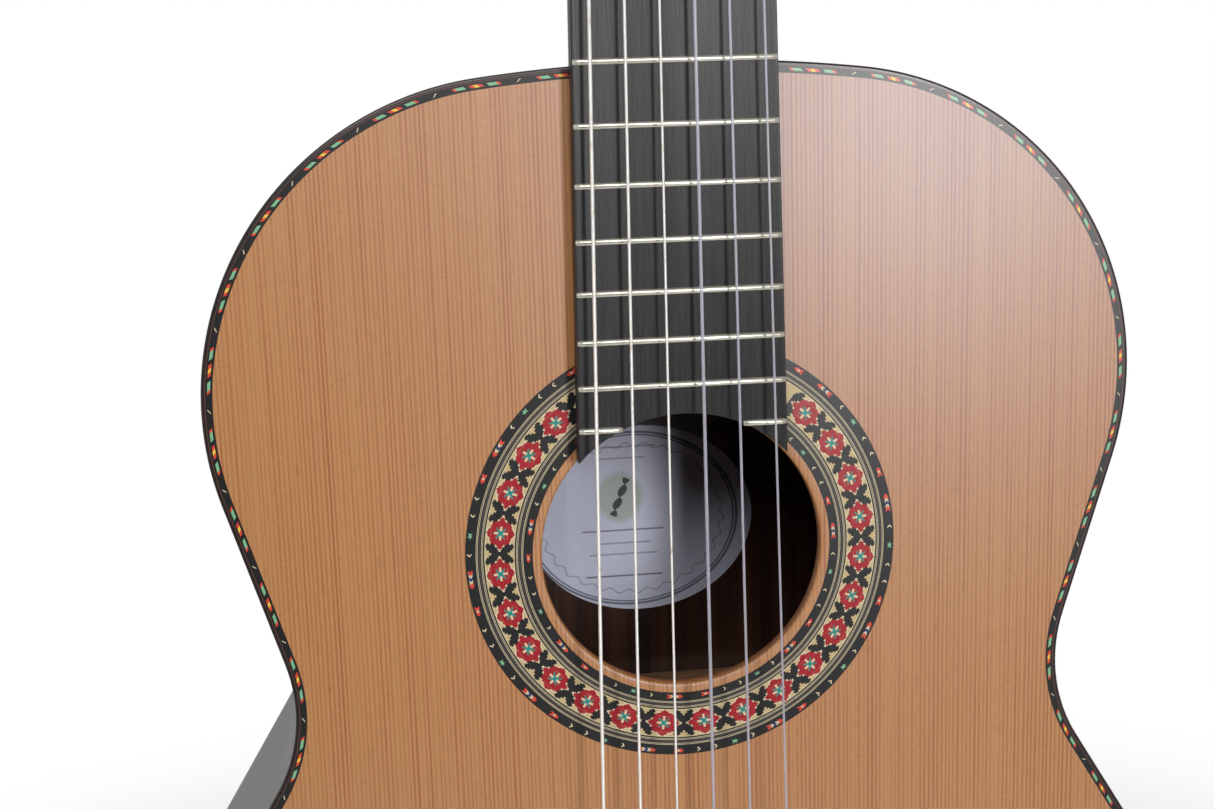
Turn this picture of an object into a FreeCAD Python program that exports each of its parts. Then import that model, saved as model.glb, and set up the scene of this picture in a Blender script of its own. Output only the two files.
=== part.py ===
"""Classical guitar with a 650 mm scale, built as a bench assembly of separate pieces.

Frame: the origin is the middle of the nut's lower edge, on the plane where the fretboard is
glued to the neck and soundboard. +X points to the treble side, +Y to the back, +Z up the neck.
"""
import FreeCAD, Part
import math
import os
import re

import Sketcher
from FreeCAD import Matrix, Placement, Rotation, Vector

DOC = FreeCAD.newDocument("ClassicalGuitar")

# Driving dimensions in millimetres and degrees: alias, value, meaning.
DIMENSIONS = [
    ("scale_length", 650.0, "vibrating length of the open strings"),
    ("joint_fret", 12, "fret over the joint of neck and body"),
    ("fret_count", 19, "frets on the board"),
    ("saddle_setback", 1.5, "extra length at the saddle for intonation"),
    ("body_length", 488.0, "length of the body"),
    ("top_arc", 489.33, "radius of the outline across the shoulders"),
    ("shoulder_radius", 96.44, "radius of the upper bout's corners"),
    ("shoulder_offset", 46.03, "upper bout corner centres from the middle"),
    ("waist_radius", 52.12, "radius of the hollow waist"),
    ("waist_half", 121.2, "half width at the waist"),
    ("waist_drop", 192.01, "waist below the top of the body"),
    ("flank_angle", 31.44, "slope of the flank below the waist"),
    ("flank_radius", 190.0, "upper radius of the lower bout"),
    ("corner_radius", 130.0, "radius of the lower bout's corners"),
    ("corner_offset", 54.0, "lower bout corner centres from the middle"),
    ("bottom_arc", 424.0, "radius of the outline across the tail"),
    ("dome_radius", 4600.0, "sphere that the back follows"),
    ("dome_crest", 101.8, "deepest point of the dome behind the soundboard"),
    ("dome_drop", 300.6, "deepest point below the top of the body"),
    ("top_thickness", 2.4, "soundboard"),
    ("back_thickness", 2.6, "back plate"),
    ("side_thickness", 2.2, "ribs"),
    ("binding_width", 1.4, "edge binding across"),
    ("binding_depth", 6.0, "edge binding down the side"),
    ("purfling_width", 2.1, "inlaid line inside the top binding"),
    ("rib_gap", 12.0, "width between the two ribs at heel and tail"),
    ("strip_width", 6.0, "centre strip of the back"),
    ("block_half", 28.0, "half width of the heel block and tail block"),
    ("block_length", 18.0, "tail block along the body"),
    ("lining_width", 5.3, "lining across"),
    ("lining_depth", 13.6, "lining down the rib"),
    ("hole_drop", 148.44, "soundhole centre below the top of the body"),
    ("hole_radius", 43.66, "soundhole"),
    ("patch_radius", 54.0, "reinforcing ring under the soundhole"),
    ("patch_thickness", 1.5, "reinforcing ring"),
    ("rosette_inner", 46.5, "inner edge of the rosette"),
    ("mosaic_inner", 52.1, "inner edge of the mosaic ring"),
    ("mosaic_outer", 61.05, "outer edge of the mosaic ring"),
    ("rosette_outer", 67.16, "outer edge of the rosette"),
    ("rosette_depth", 1.2, "depth of the rosette channel"),
    ("label_half_width", 42.0, "paper label inside the back"),
    ("label_half_height", 35.2, "paper label inside the back"),
    ("label_drop", 163.5, "label centre below the top of the body"),
    ("label_thickness", 0.3, "paper label"),
    ("nut_width", 51.0, "neck width at the nut"),
    ("joint_width", 60.5, "neck width at the body joint"),
    ("nut_thickness", 5.0, "nut along the neck"),
    ("nut_height", 9.7, "nut above the gluing plane"),
    ("board_thickness", 7.0, "fretboard"),
    ("board_end", 443.3, "length of the fretboard to its two horns"),
    ("board_arc", 44.2, "hollow end of the fretboard, around the soundhole"),
    ("fret_width", 2.2, "fret crown across"),
    ("fret_height", 1.1, "fret crown"),
    ("tang_width", 0.55, "fret tang across"),
    ("tang_depth", 2.0, "fret tang"),
    ("neck_edge", 2.0, "straight edge beside the fretboard"),
    ("neck_depth_nut", 15.0, "neck thickness at the nut"),
    ("neck_depth_heel", 17.0, "neck thickness near the heel"),
    ("heel_cap_depth", 3.4, "heel cap"),
    ("head_tilt", 15.0, "head tilted back, degrees"),
    ("head_half", 36.0, "half width of the head"),
    ("head_thickness", 19.0, "head without its veneer"),
    ("veneer_thickness", 2.5, "head veneer"),
    ("slot_inner", 7.0, "head slot edge near the middle"),
    ("slot_outer", 24.0, "outer head slot edge"),
    ("slot_start", 42.0, "lower end of the head slots"),
    ("slot_end", 152.0, "upper end of the head slots"),
    ("roller_first", 62.0, "first roller axis from the nut"),
    ("roller_pitch", 35.0, "spacing of the roller axes"),
    ("roller_depth", 9.5, "roller axes behind the face of the head"),
    ("roller_radius", 5.0, "roller"),
    ("journal_radius", 3.0, "outer journal of a roller"),
    ("pin_radius", 2.5, "inner journal of a roller"),
    ("running_gap", 0.08, "clearance around the turning journals"),
    ("plate_thickness", 1.2, "machine head plate"),
    ("gear_teeth", 14, "teeth on a roller gear"),
    ("gear_module", 0.8, "tooth size"),
    ("gear_width", 3.0, "gear along its axis"),
    ("worm_pitch_radius", 3.0, "worm at the middle of its thread"),
    ("worm_offset", 4.3, "worm axis outside the machine plate"),
    ("worm_shaft", 1.5, "worm shaft radius"),
    ("button_length", 19.0, "button along its shaft"),
    ("button_width", 16.0, "button across its wide side"),
    ("button_depth", 9.5, "button across its thin side"),
    ("bridge_half", 95.0, "half length of the bridge"),
    ("bridge_width", 28.0, "bridge along the strings"),
    ("bridge_height", 9.8, "saddle ridge and tie block"),
    ("wing_height", 3.6, "bridge wings"),
    ("ridge_width", 9.6, "saddle ridge along the strings"),
    ("tie_half", 42.0, "half length of the tie block"),
    ("tie_width", 11.0, "tie block along the strings"),
    ("tie_hole_height", 5.0, "string holes in the tie block"),
    ("saddle_thickness", 2.6, "saddle along the strings"),
    ("saddle_half", 40.0, "half length of the saddle"),
    ("saddle_top", 14.0, "saddle above the soundboard"),
    ("saddle_round", 1.25, "rounding of the saddle's crown"),
    ("string_nut_half", 20.6, "outer strings from the middle at the nut"),
    ("string_saddle_half", 30.2, "outer strings from the middle at the saddle"),
]

SHEET = DOC.addObject("Spreadsheet::Sheet", "Dimensions")
for row, (alias, value, meaning) in enumerate(DIMENSIONS, start=1):
    SHEET.set(f"A{row}", alias)
    SHEET.set(f"B{row}", str(value))
    SHEET.set(f"C{row}", meaning)
    SHEET.setAlias(f"B{row}", alias)
DOC.recompute()

ALIASES = [alias for alias, value, meaning in DIMENSIONS]
NODES = []


def dim(alias):
    """The number in the sheet's cell of that name."""
    return float(SHEET.get(alias))


def bound(text):
    """An expression in which each dimension's name refers to its cell."""
    return re.sub(r"[a-z_]+", lambda word: f"Dimensions.{word[0]}" if word[0] in ALIASES else word[0], text)


BODY_TOP = -dim("scale_length") * (1 - 2 ** (-dim("joint_fret") / 12))
SADDLE_Z = -dim("scale_length") - dim("saddle_setback")
HOLE_Z = BODY_TOP - dim("hole_drop")
DEPTH_REACH = 110.0     # deeper than the body, for blanks that the dome trims
FAR = 400.0             # beyond the body on every side


# ---------------------------------------------------------------- document objects

def keep(obj, label):
    """Name a finished sub-part; its label names its file."""
    obj.Label = label
    NODES.append(obj)
    return obj


def feature(label, shape, placement=None):
    """A sub-part whose shape is worked out from the sheet by Part functions."""
    obj = DOC.addObject("Part::Feature", label)
    obj.Shape = shape
    if placement:
        obj.Placement = placement.multiply(obj.Placement)
    return keep(obj, label)


def box(name, corner, lengths):
    """A Part::Box whose corner and lengths are expressions over the sheet."""
    obj = DOC.addObject("Part::Box", name)
    for prop, text in zip(("Length", "Width", "Height"), lengths):
        obj.setExpression(prop, bound(text))
    for axis, text in zip("xyz", corner):
        obj.setExpression(f"Placement.Base.{axis}", bound(text))
    return obj


def dome(name, inward):
    """A ball whose far side is the back's outer face, moved inward by an expression."""
    obj = DOC.addObject("Part::Sphere", name)
    obj.setExpression("Radius", bound(f"dome_radius - ({inward})"))
    obj.setExpression("Placement.Base.y", bound("dome_crest - dome_radius"))
    obj.Placement.Base.z = BODY_TOP - dim("dome_drop")
    return obj


def boolean(kind, name, base, tool):
    """A Part::Cut, Part::Common or Part::Fuse of two objects."""
    obj = DOC.addObject(f"Part::{kind}", name)
    obj.Base = base
    obj.Tool = tool
    return obj


def sketch_in(body, role, offset=None):
    """A sketch on one of the body's own origin planes, moved along its normal."""
    sketch = body.newObject("Sketcher::SketchObject", body.Name + "Sketch")
    plane = [item for item in body.Origin.OriginFeatures if item.Role == role][0]
    sketch.AttachmentSupport = [(plane, "")]
    sketch.MapMode = "FlatFace"
    if offset:
        sketch.setExpression("AttachmentOffset.Base.z", bound(offset))
    return sketch


def add_circle(sketch, radius, height):
    """A circle centred on the vertical axis, with its radius bound to the sheet."""
    index = sketch.addGeometry(Part.Circle(Vector(0, height, 0), Vector(0, 0, 1), dim(radius)), False)
    sketch.addConstraint(Sketcher.Constraint("PointOnObject", index, 3, -2))
    sketch.addConstraint(Sketcher.Constraint("DistanceY", -1, 1, index, 3, height))
    place = sketch.addConstraint(Sketcher.Constraint("Radius", index, dim(radius)))
    sketch.setExpression(f"Constraints[{place}]", bound(radius))


def padded(name, draw, start, length):
    """A body padded toward the back from a sketch of the XZ plane at depth start."""
    body = DOC.addObject("PartDesign::Body", name)
    sketch = sketch_in(body, "XZ_Plane", f"-({start})")
    draw(sketch)
    pad = body.newObject("PartDesign::Pad", name + "Pad")
    pad.Profile = sketch
    pad.setExpression("Length", bound(length))
    pad.Reversed = True
    return body


# ---------------------------------------------------------------- body outline

def polar(centre, radius, angle):
    """The point at an angle, in degrees, on a circle of the outline's plane."""
    turn = math.radians(angle)
    return Vector(centre[0] + radius * math.cos(turn), centre[1] + radius * math.sin(turn), 0)


def arc_between(centre, radius, start, end):
    """The circular arc from one angle to another."""
    middle = (start + end) / 2
    return Part.Arc(polar(centre, radius, start), polar(centre, radius, middle), polar(centre, radius, end))


def outline(inset):
    """Tangent arcs and lines of the body's plan, an even distance inside its outer edge."""
    top = (0.0, BODY_TOP - dim("top_arc"))
    reach = dim("top_arc") - dim("shoulder_radius")
    shoulder = (dim("shoulder_offset"), top[1] + math.sqrt(reach ** 2 - dim("shoulder_offset") ** 2))
    waist = (dim("waist_half") + dim("waist_radius"), BODY_TOP - dim("waist_drop"))
    bottom = (0.0, BODY_TOP - dim("body_length") + dim("bottom_arc"))
    reach = dim("bottom_arc") - dim("corner_radius")
    corner = (dim("corner_offset"), bottom[1] - math.sqrt(reach ** 2 - dim("corner_offset") ** 2))

    turn_top = math.degrees(math.atan2(shoulder[1] - top[1], shoulder[0]))
    span = math.hypot(waist[0] - shoulder[0], waist[1] - shoulder[1])
    facing = math.degrees(math.atan2(waist[1] - shoulder[1], waist[0] - shoulder[0]))
    turn_rib = facing + math.degrees(math.acos((dim("shoulder_radius") + dim("waist_radius")) / span))
    turn_flank = dim("flank_angle")
    normal = polar((0, 0), 1.0, turn_flank)
    step = dim("flank_radius") - dim("corner_radius")
    level = normal.x * (waist[0] - corner[0]) + normal.y * (waist[1] - corner[1]) - dim("waist_radius")
    turn_bout = turn_flank - math.degrees(math.acos((dim("flank_radius") - level) / step))
    flank = polar(corner, -step, turn_bout)
    turn_tail = math.degrees(math.atan2(corner[1] - bottom[1], corner[0]))

    runs = [
        arc_between(top, dim("top_arc") - inset, 90.0, turn_top),
        arc_between(shoulder, dim("shoulder_radius") - inset, turn_top, turn_rib),
        Part.LineSegment(
            polar(shoulder, dim("shoulder_radius") - inset, turn_rib),
            polar(waist, -dim("waist_radius") - inset, turn_rib),
        ),
        arc_between(waist, -dim("waist_radius") - inset, turn_rib, turn_flank),
        Part.LineSegment(
            polar(waist, -dim("waist_radius") - inset, turn_flank),
            polar(flank, dim("flank_radius") - inset, turn_flank),
        ),
        arc_between(flank, dim("flank_radius") - inset, turn_flank, turn_bout),
        arc_between(corner, dim("corner_radius") - inset, turn_bout, turn_tail),
        arc_between(bottom, dim("bottom_arc") - inset, turn_tail, -90.0),
    ]
    mirrored = []
    for run in runs:
        twin = run.copy()
        twin.mirror(Vector(0, 0, 0), Vector(0, 1, 0))
        mirrored.append(twin)
    return runs + mirrored


def outline_prism(inset, start, end):
    """A plain solid of the body's plan between two depths."""
    wire = Part.Wire(Part.__sortEdges__([run.toShape() for run in outline(inset)]))
    face = Part.Face(wire)
    face.rotate(Vector(0, 0, 0), Vector(1, 0, 0), 90)
    face.translate(Vector(0, start, 0))
    return face.extrude(Vector(0, end - start, 0))


def draw_plan(inset):
    """A sketch drawer for the filled plan."""
    def draw(sketch):
        sketch.addGeometry(outline(inset), False)
    return draw


def draw_rim(outer, inner):
    """A sketch drawer for the strip between two insets of the plan."""
    def draw(sketch):
        sketch.addGeometry(outline(outer), False)
        sketch.addGeometry(outline(inner), False)
    return draw


def draw_ring(outer, inner):
    """A sketch drawer for a ring around the soundhole."""
    def draw(sketch):
        add_circle(sketch, outer, HOLE_Z)
        add_circle(sketch, inner, HOLE_Z)
    return draw


# ---------------------------------------------------------------- sound box

EDGE = dim("binding_width") + dim("purfling_width")


def make_soundboard():
    """Cedar top with the soundhole and the channel for the rosette."""
    def draw(sketch):
        sketch.addGeometry(outline(EDGE), False)
        add_circle(sketch, "hole_radius", HOLE_Z)

    board = padded("Soundboard", draw, "0", "top_thickness")
    DOC.recompute()
    volume = board.Shape.Volume
    sketch = sketch_in(board, "XZ_Plane")
    draw_ring("rosette_outer", "rosette_inner")(sketch)
    channel = board.newObject("PartDesign::Pocket", "RosetteChannel")
    channel.Profile = sketch
    channel.setExpression("Length", bound("rosette_depth"))
    channel.Reversed = False
    DOC.recompute()
    if board.Shape.Volume > volume - 1:
        raise RuntimeError("the rosette channel cut nothing")
    keep(board, "soundboard")


def make_rosette():
    """Two border bands and the mosaic ring, let into the soundboard's channel."""
    keep(padded("RosetteMosaic", draw_ring("mosaic_outer", "mosaic_inner"), "0", "rosette_depth"),
         "rosette_mosaic")
    inner = padded("BorderInner", draw_ring("mosaic_inner", "rosette_inner"), "0", "rosette_depth")
    outer = padded("BorderOuter", draw_ring("rosette_outer", "mosaic_outer"), "0", "rosette_depth")
    keep(boolean("Fuse", "RosetteBorders", inner, outer), "rosette_borders")
    keep(padded("HolePatch", draw_ring("patch_radius", "hole_radius"), "top_thickness", "patch_thickness"),
         "soundhole_patch")


def make_rim():
    """Bindings, purfling, the two ribs and the graft between them at the tail."""
    top_binding = padded("TopBinding", draw_rim(0, dim("binding_width")), "0", "binding_depth")
    keep(top_binding, "top_binding")
    keep(padded("TopPurfling", draw_rim(dim("binding_width"), EDGE), "0", "top_thickness"), "top_purfling")

    edge_blank = padded("EdgeBlank", draw_rim(0, dim("binding_width")), "binding_depth", str(DEPTH_REACH))
    edge_outer = boolean("Common", "EdgeTrimmed", edge_blank, dome("DomeEdge", "0"))
    back_binding = boolean("Cut", "BackBinding", edge_outer, dome("DomeLedge", "binding_depth"))
    keep(back_binding, "back_binding")

    rib_blank = padded("RibBlank", draw_rim(0, dim("side_thickness")), "top_thickness", str(DEPTH_REACH))
    rib_trimmed = boolean("Common", "RibTrimmed", rib_blank, dome("DomeRib", "back_thickness"))
    rib_front = boolean("Cut", "RibFront", rib_trimmed, top_binding)
    rib = boolean("Cut", "RibRing", rib_front, back_binding)

    long, deep = str(FAR * 3), str(FAR)
    low = str(-FAR * 2.2)
    bass_space = box("BassSpace", (f"-{FAR} - rib_gap / 2", "0", low), (deep, deep, long))
    treble_space = box("TrebleSpace", ("rib_gap / 2", "0", low), (deep, deep, long))
    keep(boolean("Common", "SideBass", rib, bass_space), "side_bass")
    keep(boolean("Common", "SideTreble", rib, treble_space), "side_treble")
    tail_space = box("TailSpace", ("-rib_gap / 2", "0", low), ("rib_gap", deep, "200"))
    keep(boolean("Common", "EndGraft", rib, tail_space), "end_graft")
    heel_space = box("HeelSpace", ("-rib_gap / 2", "0", f"{BODY_TOP} - 50"), ("rib_gap", deep, "100"))
    return boolean("Common", "HeelWeb", rib, heel_space)


def make_back():
    """Domed back of two matched halves with a centre strip."""
    blank = padded("BackBlank", draw_plan(dim("binding_width")), "60", str(DEPTH_REACH - 60))
    outer = boolean("Common", "BackOuter", blank, dome("DomeOuter", "0"))
    shell = boolean("Cut", "BackShell", outer, dome("DomeInner", "back_thickness"))
    strip = box("StripSpace", ("-strip_width / 2", "0", str(-FAR * 2.2)),
                ("strip_width", str(FAR), str(FAR * 3)))
    keep(boolean("Cut", "BackPlate", shell, strip), "back_plate")
    keep(boolean("Common", "BackStrip", shell, strip), "back_centre_strip")


def make_linings():
    """Glue strips along both edges of each rib, stopped at the heel block and tail block."""
    inner = dim("side_thickness") + dim("lining_width")
    front = padded("LiningFront", draw_rim(dim("side_thickness"), inner), "top_thickness", "lining_depth")
    blank = padded("LiningBlank", draw_rim(dim("side_thickness"), inner), "60", str(DEPTH_REACH - 60))
    trimmed = boolean("Common", "LiningTrimmed", blank, dome("DomeLining", "back_thickness"))
    back = boolean("Cut", "LiningBack", trimmed, dome("DomeLiningIn", "back_thickness + lining_depth"))
    both = boolean("Fuse", "LiningPair", front, back)
    gap = box("BlockGap", ("-block_half - 0.5", "0", str(-FAR * 2.2)),
              ("2 * block_half + 1", str(FAR), str(FAR * 3)))
    keep(boolean("Cut", "Linings", both, gap), "linings")


def make_tail_block():
    """Block between the ribs at the tail."""
    blank = padded("TailBlank", draw_plan(dim("side_thickness")), "top_thickness", str(DEPTH_REACH))
    tail = BODY_TOP - dim("body_length")
    space = box("TailBlockSpace", ("-block_half", "0", str(tail)),
                ("2 * block_half", str(FAR), "side_thickness + block_length"))
    trimmed = boolean("Common", "TailTrimmed", blank, dome("DomeTail", "back_thickness"))
    keep(boolean("Common", "TailBlock", trimmed, space), "tail_block")


def ball(inward):
    """The dome's ball as a plain solid."""
    centre = Vector(0, dim("dome_crest") - dim("dome_radius"), BODY_TOP - dim("dome_drop"))
    return Part.makeSphere(dim("dome_radius") - inward, centre)


def bar(centre_z, width, start, end, half=FAR / 2):
    """A straight bar across the body between two depths."""
    return Part.makeBox(2 * half, end - start, width, Vector(-half, start, centre_z - width / 2))


# Bars across the top: distance below the top of the body, width, height.
TOP_BARS = [(40.0, 6.0, 12.0), (90.0, 6.5, 15.0), (206.0, 6.5, 15.0)]
# Fan struts: start below the top of the body, length, section, spacing, degrees between two.
FAN_DROP, FAN_LENGTH, FAN_SECTION, FAN_SPACING, FAN_SPREAD = 214.0, 205.0, 5.0, 19.0, 3.5
FAN_SIDE = 3
# Bars across the back: distances below the top of the body, width, depth of their front faces.
BACK_BARS, BACK_BAR_WIDTH, BACK_BAR_FRONT = (78.0, 228.0, 372.0), 7.0, 84.0
BRACE_GAP = 0.3


def make_braces():
    """Harmonic bars and fan struts under the top, and three bars across the back."""
    clear = outline_prism(dim("side_thickness") + dim("lining_width") + BRACE_GAP, 0, DEPTH_REACH)
    front = dim("top_thickness")
    bars = []
    for drop, width, height in TOP_BARS:
        bars.append(bar(BODY_TOP - drop, width, front, front + height).common(clear))
    for step in range(-FAN_SIDE, FAN_SIDE + 1):
        corner = Vector(-FAN_SECTION / 2, front, -FAN_LENGTH)
        rod = Part.makeBox(FAN_SECTION, FAN_SECTION, FAN_LENGTH, corner)
        rod.rotate(Vector(0, 0, 0), Vector(0, 1, 0), -step * FAN_SPREAD)
        rod.translate(Vector(step * FAN_SPACING, 0, BODY_TOP - FAN_DROP))
        bars.append(rod.common(clear))
    feature("top_braces", Part.makeCompound(bars))

    inner = ball(dim("back_thickness"))
    ribs = []
    for drop in BACK_BARS:
        rib = bar(BODY_TOP - drop, BACK_BAR_WIDTH, BACK_BAR_FRONT, DEPTH_REACH)
        ribs.append(rib.common(clear).common(inner))
    feature("back_braces", Part.makeCompound(ribs))


def make_label():
    """Oval paper label on the inside of the back, under the soundhole."""
    oval = Part.Ellipse(Vector(0, 0, 0), dim("label_half_width"), dim("label_half_height"))
    face = Part.Face(Part.Wire(oval.toShape()))
    face.rotate(Vector(0, 0, 0), Vector(1, 0, 0), 90)
    face.translate(Vector(0, 80, BODY_TOP - dim("label_drop")))
    prism = face.extrude(Vector(0, DEPTH_REACH - 80, 0))
    outer = ball(dim("back_thickness"))
    inner = ball(dim("back_thickness") + dim("label_thickness"))
    feature("label", prism.common(outer).cut(inner))


# ---------------------------------------------------------------- neck

def neck_width(z):
    """Width of neck and fretboard at a height."""
    return dim("nut_width") + (dim("joint_width") - dim("nut_width")) * z / BODY_TOP


def fret_z(number):
    """Height of a fret."""
    return -dim("scale_length") * (1 - 2 ** (-number / 12))


def neck_section(width, depth):
    """D-shaped section in the XY plane, flat toward the fretboard."""
    edge = dim("neck_edge")
    oval = Part.Ellipse(Vector(0, edge, 0), width / 2, depth - edge)
    left, right = Vector(-width / 2, 0, 0), Vector(width / 2, 0, 0)
    down = Vector(0, edge, 0)
    return Part.Wire([
        Part.LineSegment(left, right).toShape(),
        Part.LineSegment(right, right + down).toShape(),
        Part.ArcOfEllipse(oval, 0, math.pi).toShape(),
        Part.LineSegment(left + down, left).toShape(),
    ])


def heel_section(depth, half_width, height):
    """Rounded heel section at one depth, flat against the body."""
    base = BODY_TOP - 4
    ends = Vector(1, 0, 0), Vector(-1, 0, 0)
    wire = Part.Wire([
        Part.Arc(ends[0], Vector(0, 0, 1), ends[1]).toShape(),
        Part.LineSegment(ends[1], ends[0]).toShape(),
    ])
    scale = Matrix()
    scale.scale(half_width, 1, height - base + BODY_TOP)
    wire = wire.transformGeometry(scale)
    wire.translate(Vector(0, depth, base))
    return wire


# Heel outline: depth behind the gluing plane, half width, height above the body joint.
HEEL_SECTIONS = [
    (1.0, 29.2, 62.0),
    (8.0, 28.6, 58.0),
    (15.0, 26.4, 44.0),
    (24.0, 22.8, 29.0),
    (38.0, 18.6, 20.5),
    (60.0, 15.2, 16.8),
    (88.6, 13.0, 15.0),
]


BLOCK_DROP = 28.0       # heel block below the top of the body
FOOT_DROP = 62.0        # foot of the heel block along the back
FOOT_FRONT = 84.0       # front face of the foot


def make_neck(web):
    """Neck shaft, stacked heel and the foot block inside the body, with slots for the ribs."""
    top = neck_section(neck_width(dim("nut_thickness")), dim("neck_depth_nut"))
    top.translate(Vector(0, 0, dim("nut_thickness")))
    low = neck_section(neck_width(BODY_TOP), dim("neck_depth_heel"))
    low.translate(Vector(0, 0, BODY_TOP - 4))
    shaft = Part.makeLoft([top, low], True, True)
    heel = Part.makeLoft([heel_section(*section) for section in HEEL_SECTIONS], True, False)
    outside = shaft.fuse(heel).cut(outline_prism(0, -1, DEPTH_REACH))

    inner = ball(dim("back_thickness"))
    inside = outline_prism(dim("side_thickness"), dim("top_thickness"), DEPTH_REACH)
    half, reach = dim("block_half"), FOOT_FRONT
    block = Part.makeBox(2 * half, DEPTH_REACH, BLOCK_DROP + 2, Vector(-half, 0, BODY_TOP - BLOCK_DROP))
    foot = Part.makeBox(2 * half, DEPTH_REACH - reach, FOOT_DROP, Vector(-half, reach, BODY_TOP - FOOT_DROP))
    block = block.fuse(foot).common(inside).common(inner)
    feature("neck", outside.fuse([block, web.Shape]).removeSplitter())

    depth, half_width, height = HEEL_SECTIONS[-1]
    cap = Part.Face(heel_section(depth, half_width + 0.2, height + 0.2))
    cap = cap.extrude(Vector(0, dim("heel_cap_depth"), 0))
    feature("heel_cap", cap.cut(outline_prism(0, 0, DEPTH_REACH)))


def make_fretboard():
    """Ebony board with its fret slots and hollow end, and the nickel-silver frets."""
    thick, end = dim("board_thickness"), -dim("board_end")
    tang, crown = dim("tang_width"), dim("fret_width")

    def plank(start, depth, extra=0.0):
        """Tapered plank from one depth to another over the fretboard's plan."""
        wide, narrow = neck_width(end) / 2 + extra, neck_width(0) / 2 + extra
        corners = [Vector(-narrow, start, 0), Vector(narrow, start, 0), Vector(wide, start, end),
                   Vector(-wide, start, end), Vector(-narrow, start, 0)]
        return Part.Face(Part.makePolygon(corners)).extrude(Vector(0, depth, 0))

    hollow = Part.makeCylinder(dim("board_arc"), 40, Vector(0, -20, HOLE_Z), Vector(0, 1, 0))
    crowns, tangs = [], []
    for number in range(1, int(dim("fret_count")) + 1):
        z = fret_z(number)
        half = neck_width(z) / 2
        profile = [
            Part.Arc(Vector(-half, -thick, z - crown / 2), Vector(-half, -thick - dim("fret_height"), z),
                     Vector(-half, -thick, z + crown / 2)).toShape(),
            Part.LineSegment(Vector(-half, -thick, z + crown / 2), Vector(-half, -thick, z - crown / 2)).toShape(),
        ]
        crowns.append(Part.Face(Part.Wire(profile)).extrude(Vector(2 * half, 0, 0)))
        tangs.append(Part.makeBox(2 * half - 1.0, dim("tang_depth"), tang,
                                  Vector(-half + 0.5, -thick, z - tang / 2)))
    rise = dim("fret_height") + 0.2
    bevel = []
    for side in (-1, 1):
        near, far = side * neck_width(0) / 2, side * neck_width(end) / 2
        lean = side * rise * 0.7
        ends = []
        for x, z in ((near, 0), (far, end)):
            corners = [Vector(x, -thick, z), Vector(x - lean, -thick - rise, z), Vector(x + side * 5, -thick - rise, z),
                       Vector(x + side * 5, -thick, z), Vector(x, -thick, z)]
            ends.append(Part.makePolygon(corners))
        bevel.append(Part.makeLoft(ends, True, True))
    frets = [crown_solid.fuse(tang_solid).cut(bevel + [hollow]) for crown_solid, tang_solid in zip(crowns, tangs)]
    board = plank(-thick, thick).cut(tangs + [hollow])
    feature("fretboard", board)
    feature("frets", Part.makeCompound(frets))


# ---------------------------------------------------------------- head

HEAD = Placement(Vector(0, 0, dim("nut_thickness")), Rotation(Vector(1, 0, 0), -dim("head_tilt")))
HEAD_TOP = 190.0
ROLLERS = [dim("roller_first") + dim("roller_pitch") * step for step in range(3)]
SCREWS = [43.5, 76.5, 111.5, 143.5]


def flat(x, w, v=0.0):
    """A point of the head: across, behind its face, and up its length."""
    return Vector(x, v, w)


def head_plan(start, end):
    """The head's plan between two depths behind its face, with its slots and ramps cut."""
    half, neck = dim("head_half"), dim("nut_width") / 2
    swing = (half + neck) / 2
    right = [
        Part.LineSegment(flat(neck, -3), flat(neck, 0)),
        Part.Arc(flat(neck, 0), flat(neck + 1.25, 8.2), flat(swing, 16)),
        Part.Arc(flat(swing, 16), flat(half - 1.25, 23.8), flat(half, 32)),
        Part.LineSegment(flat(half, 32), flat(half, 168)),
        Part.Arc(flat(half, 168), flat(half - 1.6, 172.6), flat(half - 6, 174.5)),
        Part.Arc(flat(half - 6, 174.5), flat(20.5, 175.8), flat(13, 181.5)),
    ]
    left = []
    for run in right:
        twin = run.copy()
        twin.mirror(Vector(0, 0, 0), Vector(0, 0, 1))
        left.append(twin)
    crest = Part.Arc(flat(13, 181.5), flat(0, HEAD_TOP), flat(-13, 181.5))
    foot = Part.LineSegment(flat(-neck, -3), flat(neck, -3))
    wire = Part.Wire(Part.__sortEdges__([run.toShape() for run in right + left + [crest, foot]]))
    face = Part.Face(wire)
    face.translate(Vector(0, start, 0))
    solid = face.extrude(Vector(0, end - start, 0))

    inner, outer = dim("slot_inner"), dim("slot_outer")
    low, high = dim("slot_start"), dim("slot_end")
    middle, radius = (inner + outer) / 2, (outer - inner) / 2
    tools = []
    for side in (-1, 1):
        corner = min(side * inner, side * outer)
        tools.append(Part.makeBox(outer - inner, 60, high - low - 2 * radius, Vector(corner, -30, low + radius)))
        for w in (low + radius, high - radius):
            tools.append(Part.makeCylinder(radius, 60, Vector(side * middle, -30, w), Vector(0, 1, 0)))
        ramp = [flat(corner, 17, -3.0), flat(corner, low + radius, 5.0), flat(corner, low + radius, -3.0),
                flat(corner, 17, -3.0)]
        tools.append(Part.Face(Part.makePolygon(ramp)).extrude(Vector(outer - inner, 0, 0)))
    return solid.cut(tools)


def below_head():
    """The space under the nut's upper face, in the head's own frame."""
    space = Part.makeBox(200, 200, 60, Vector(-100, -100, -60 + dim("nut_thickness")))
    space.Placement = HEAD.inverse().multiply(space.Placement)
    return space


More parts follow.
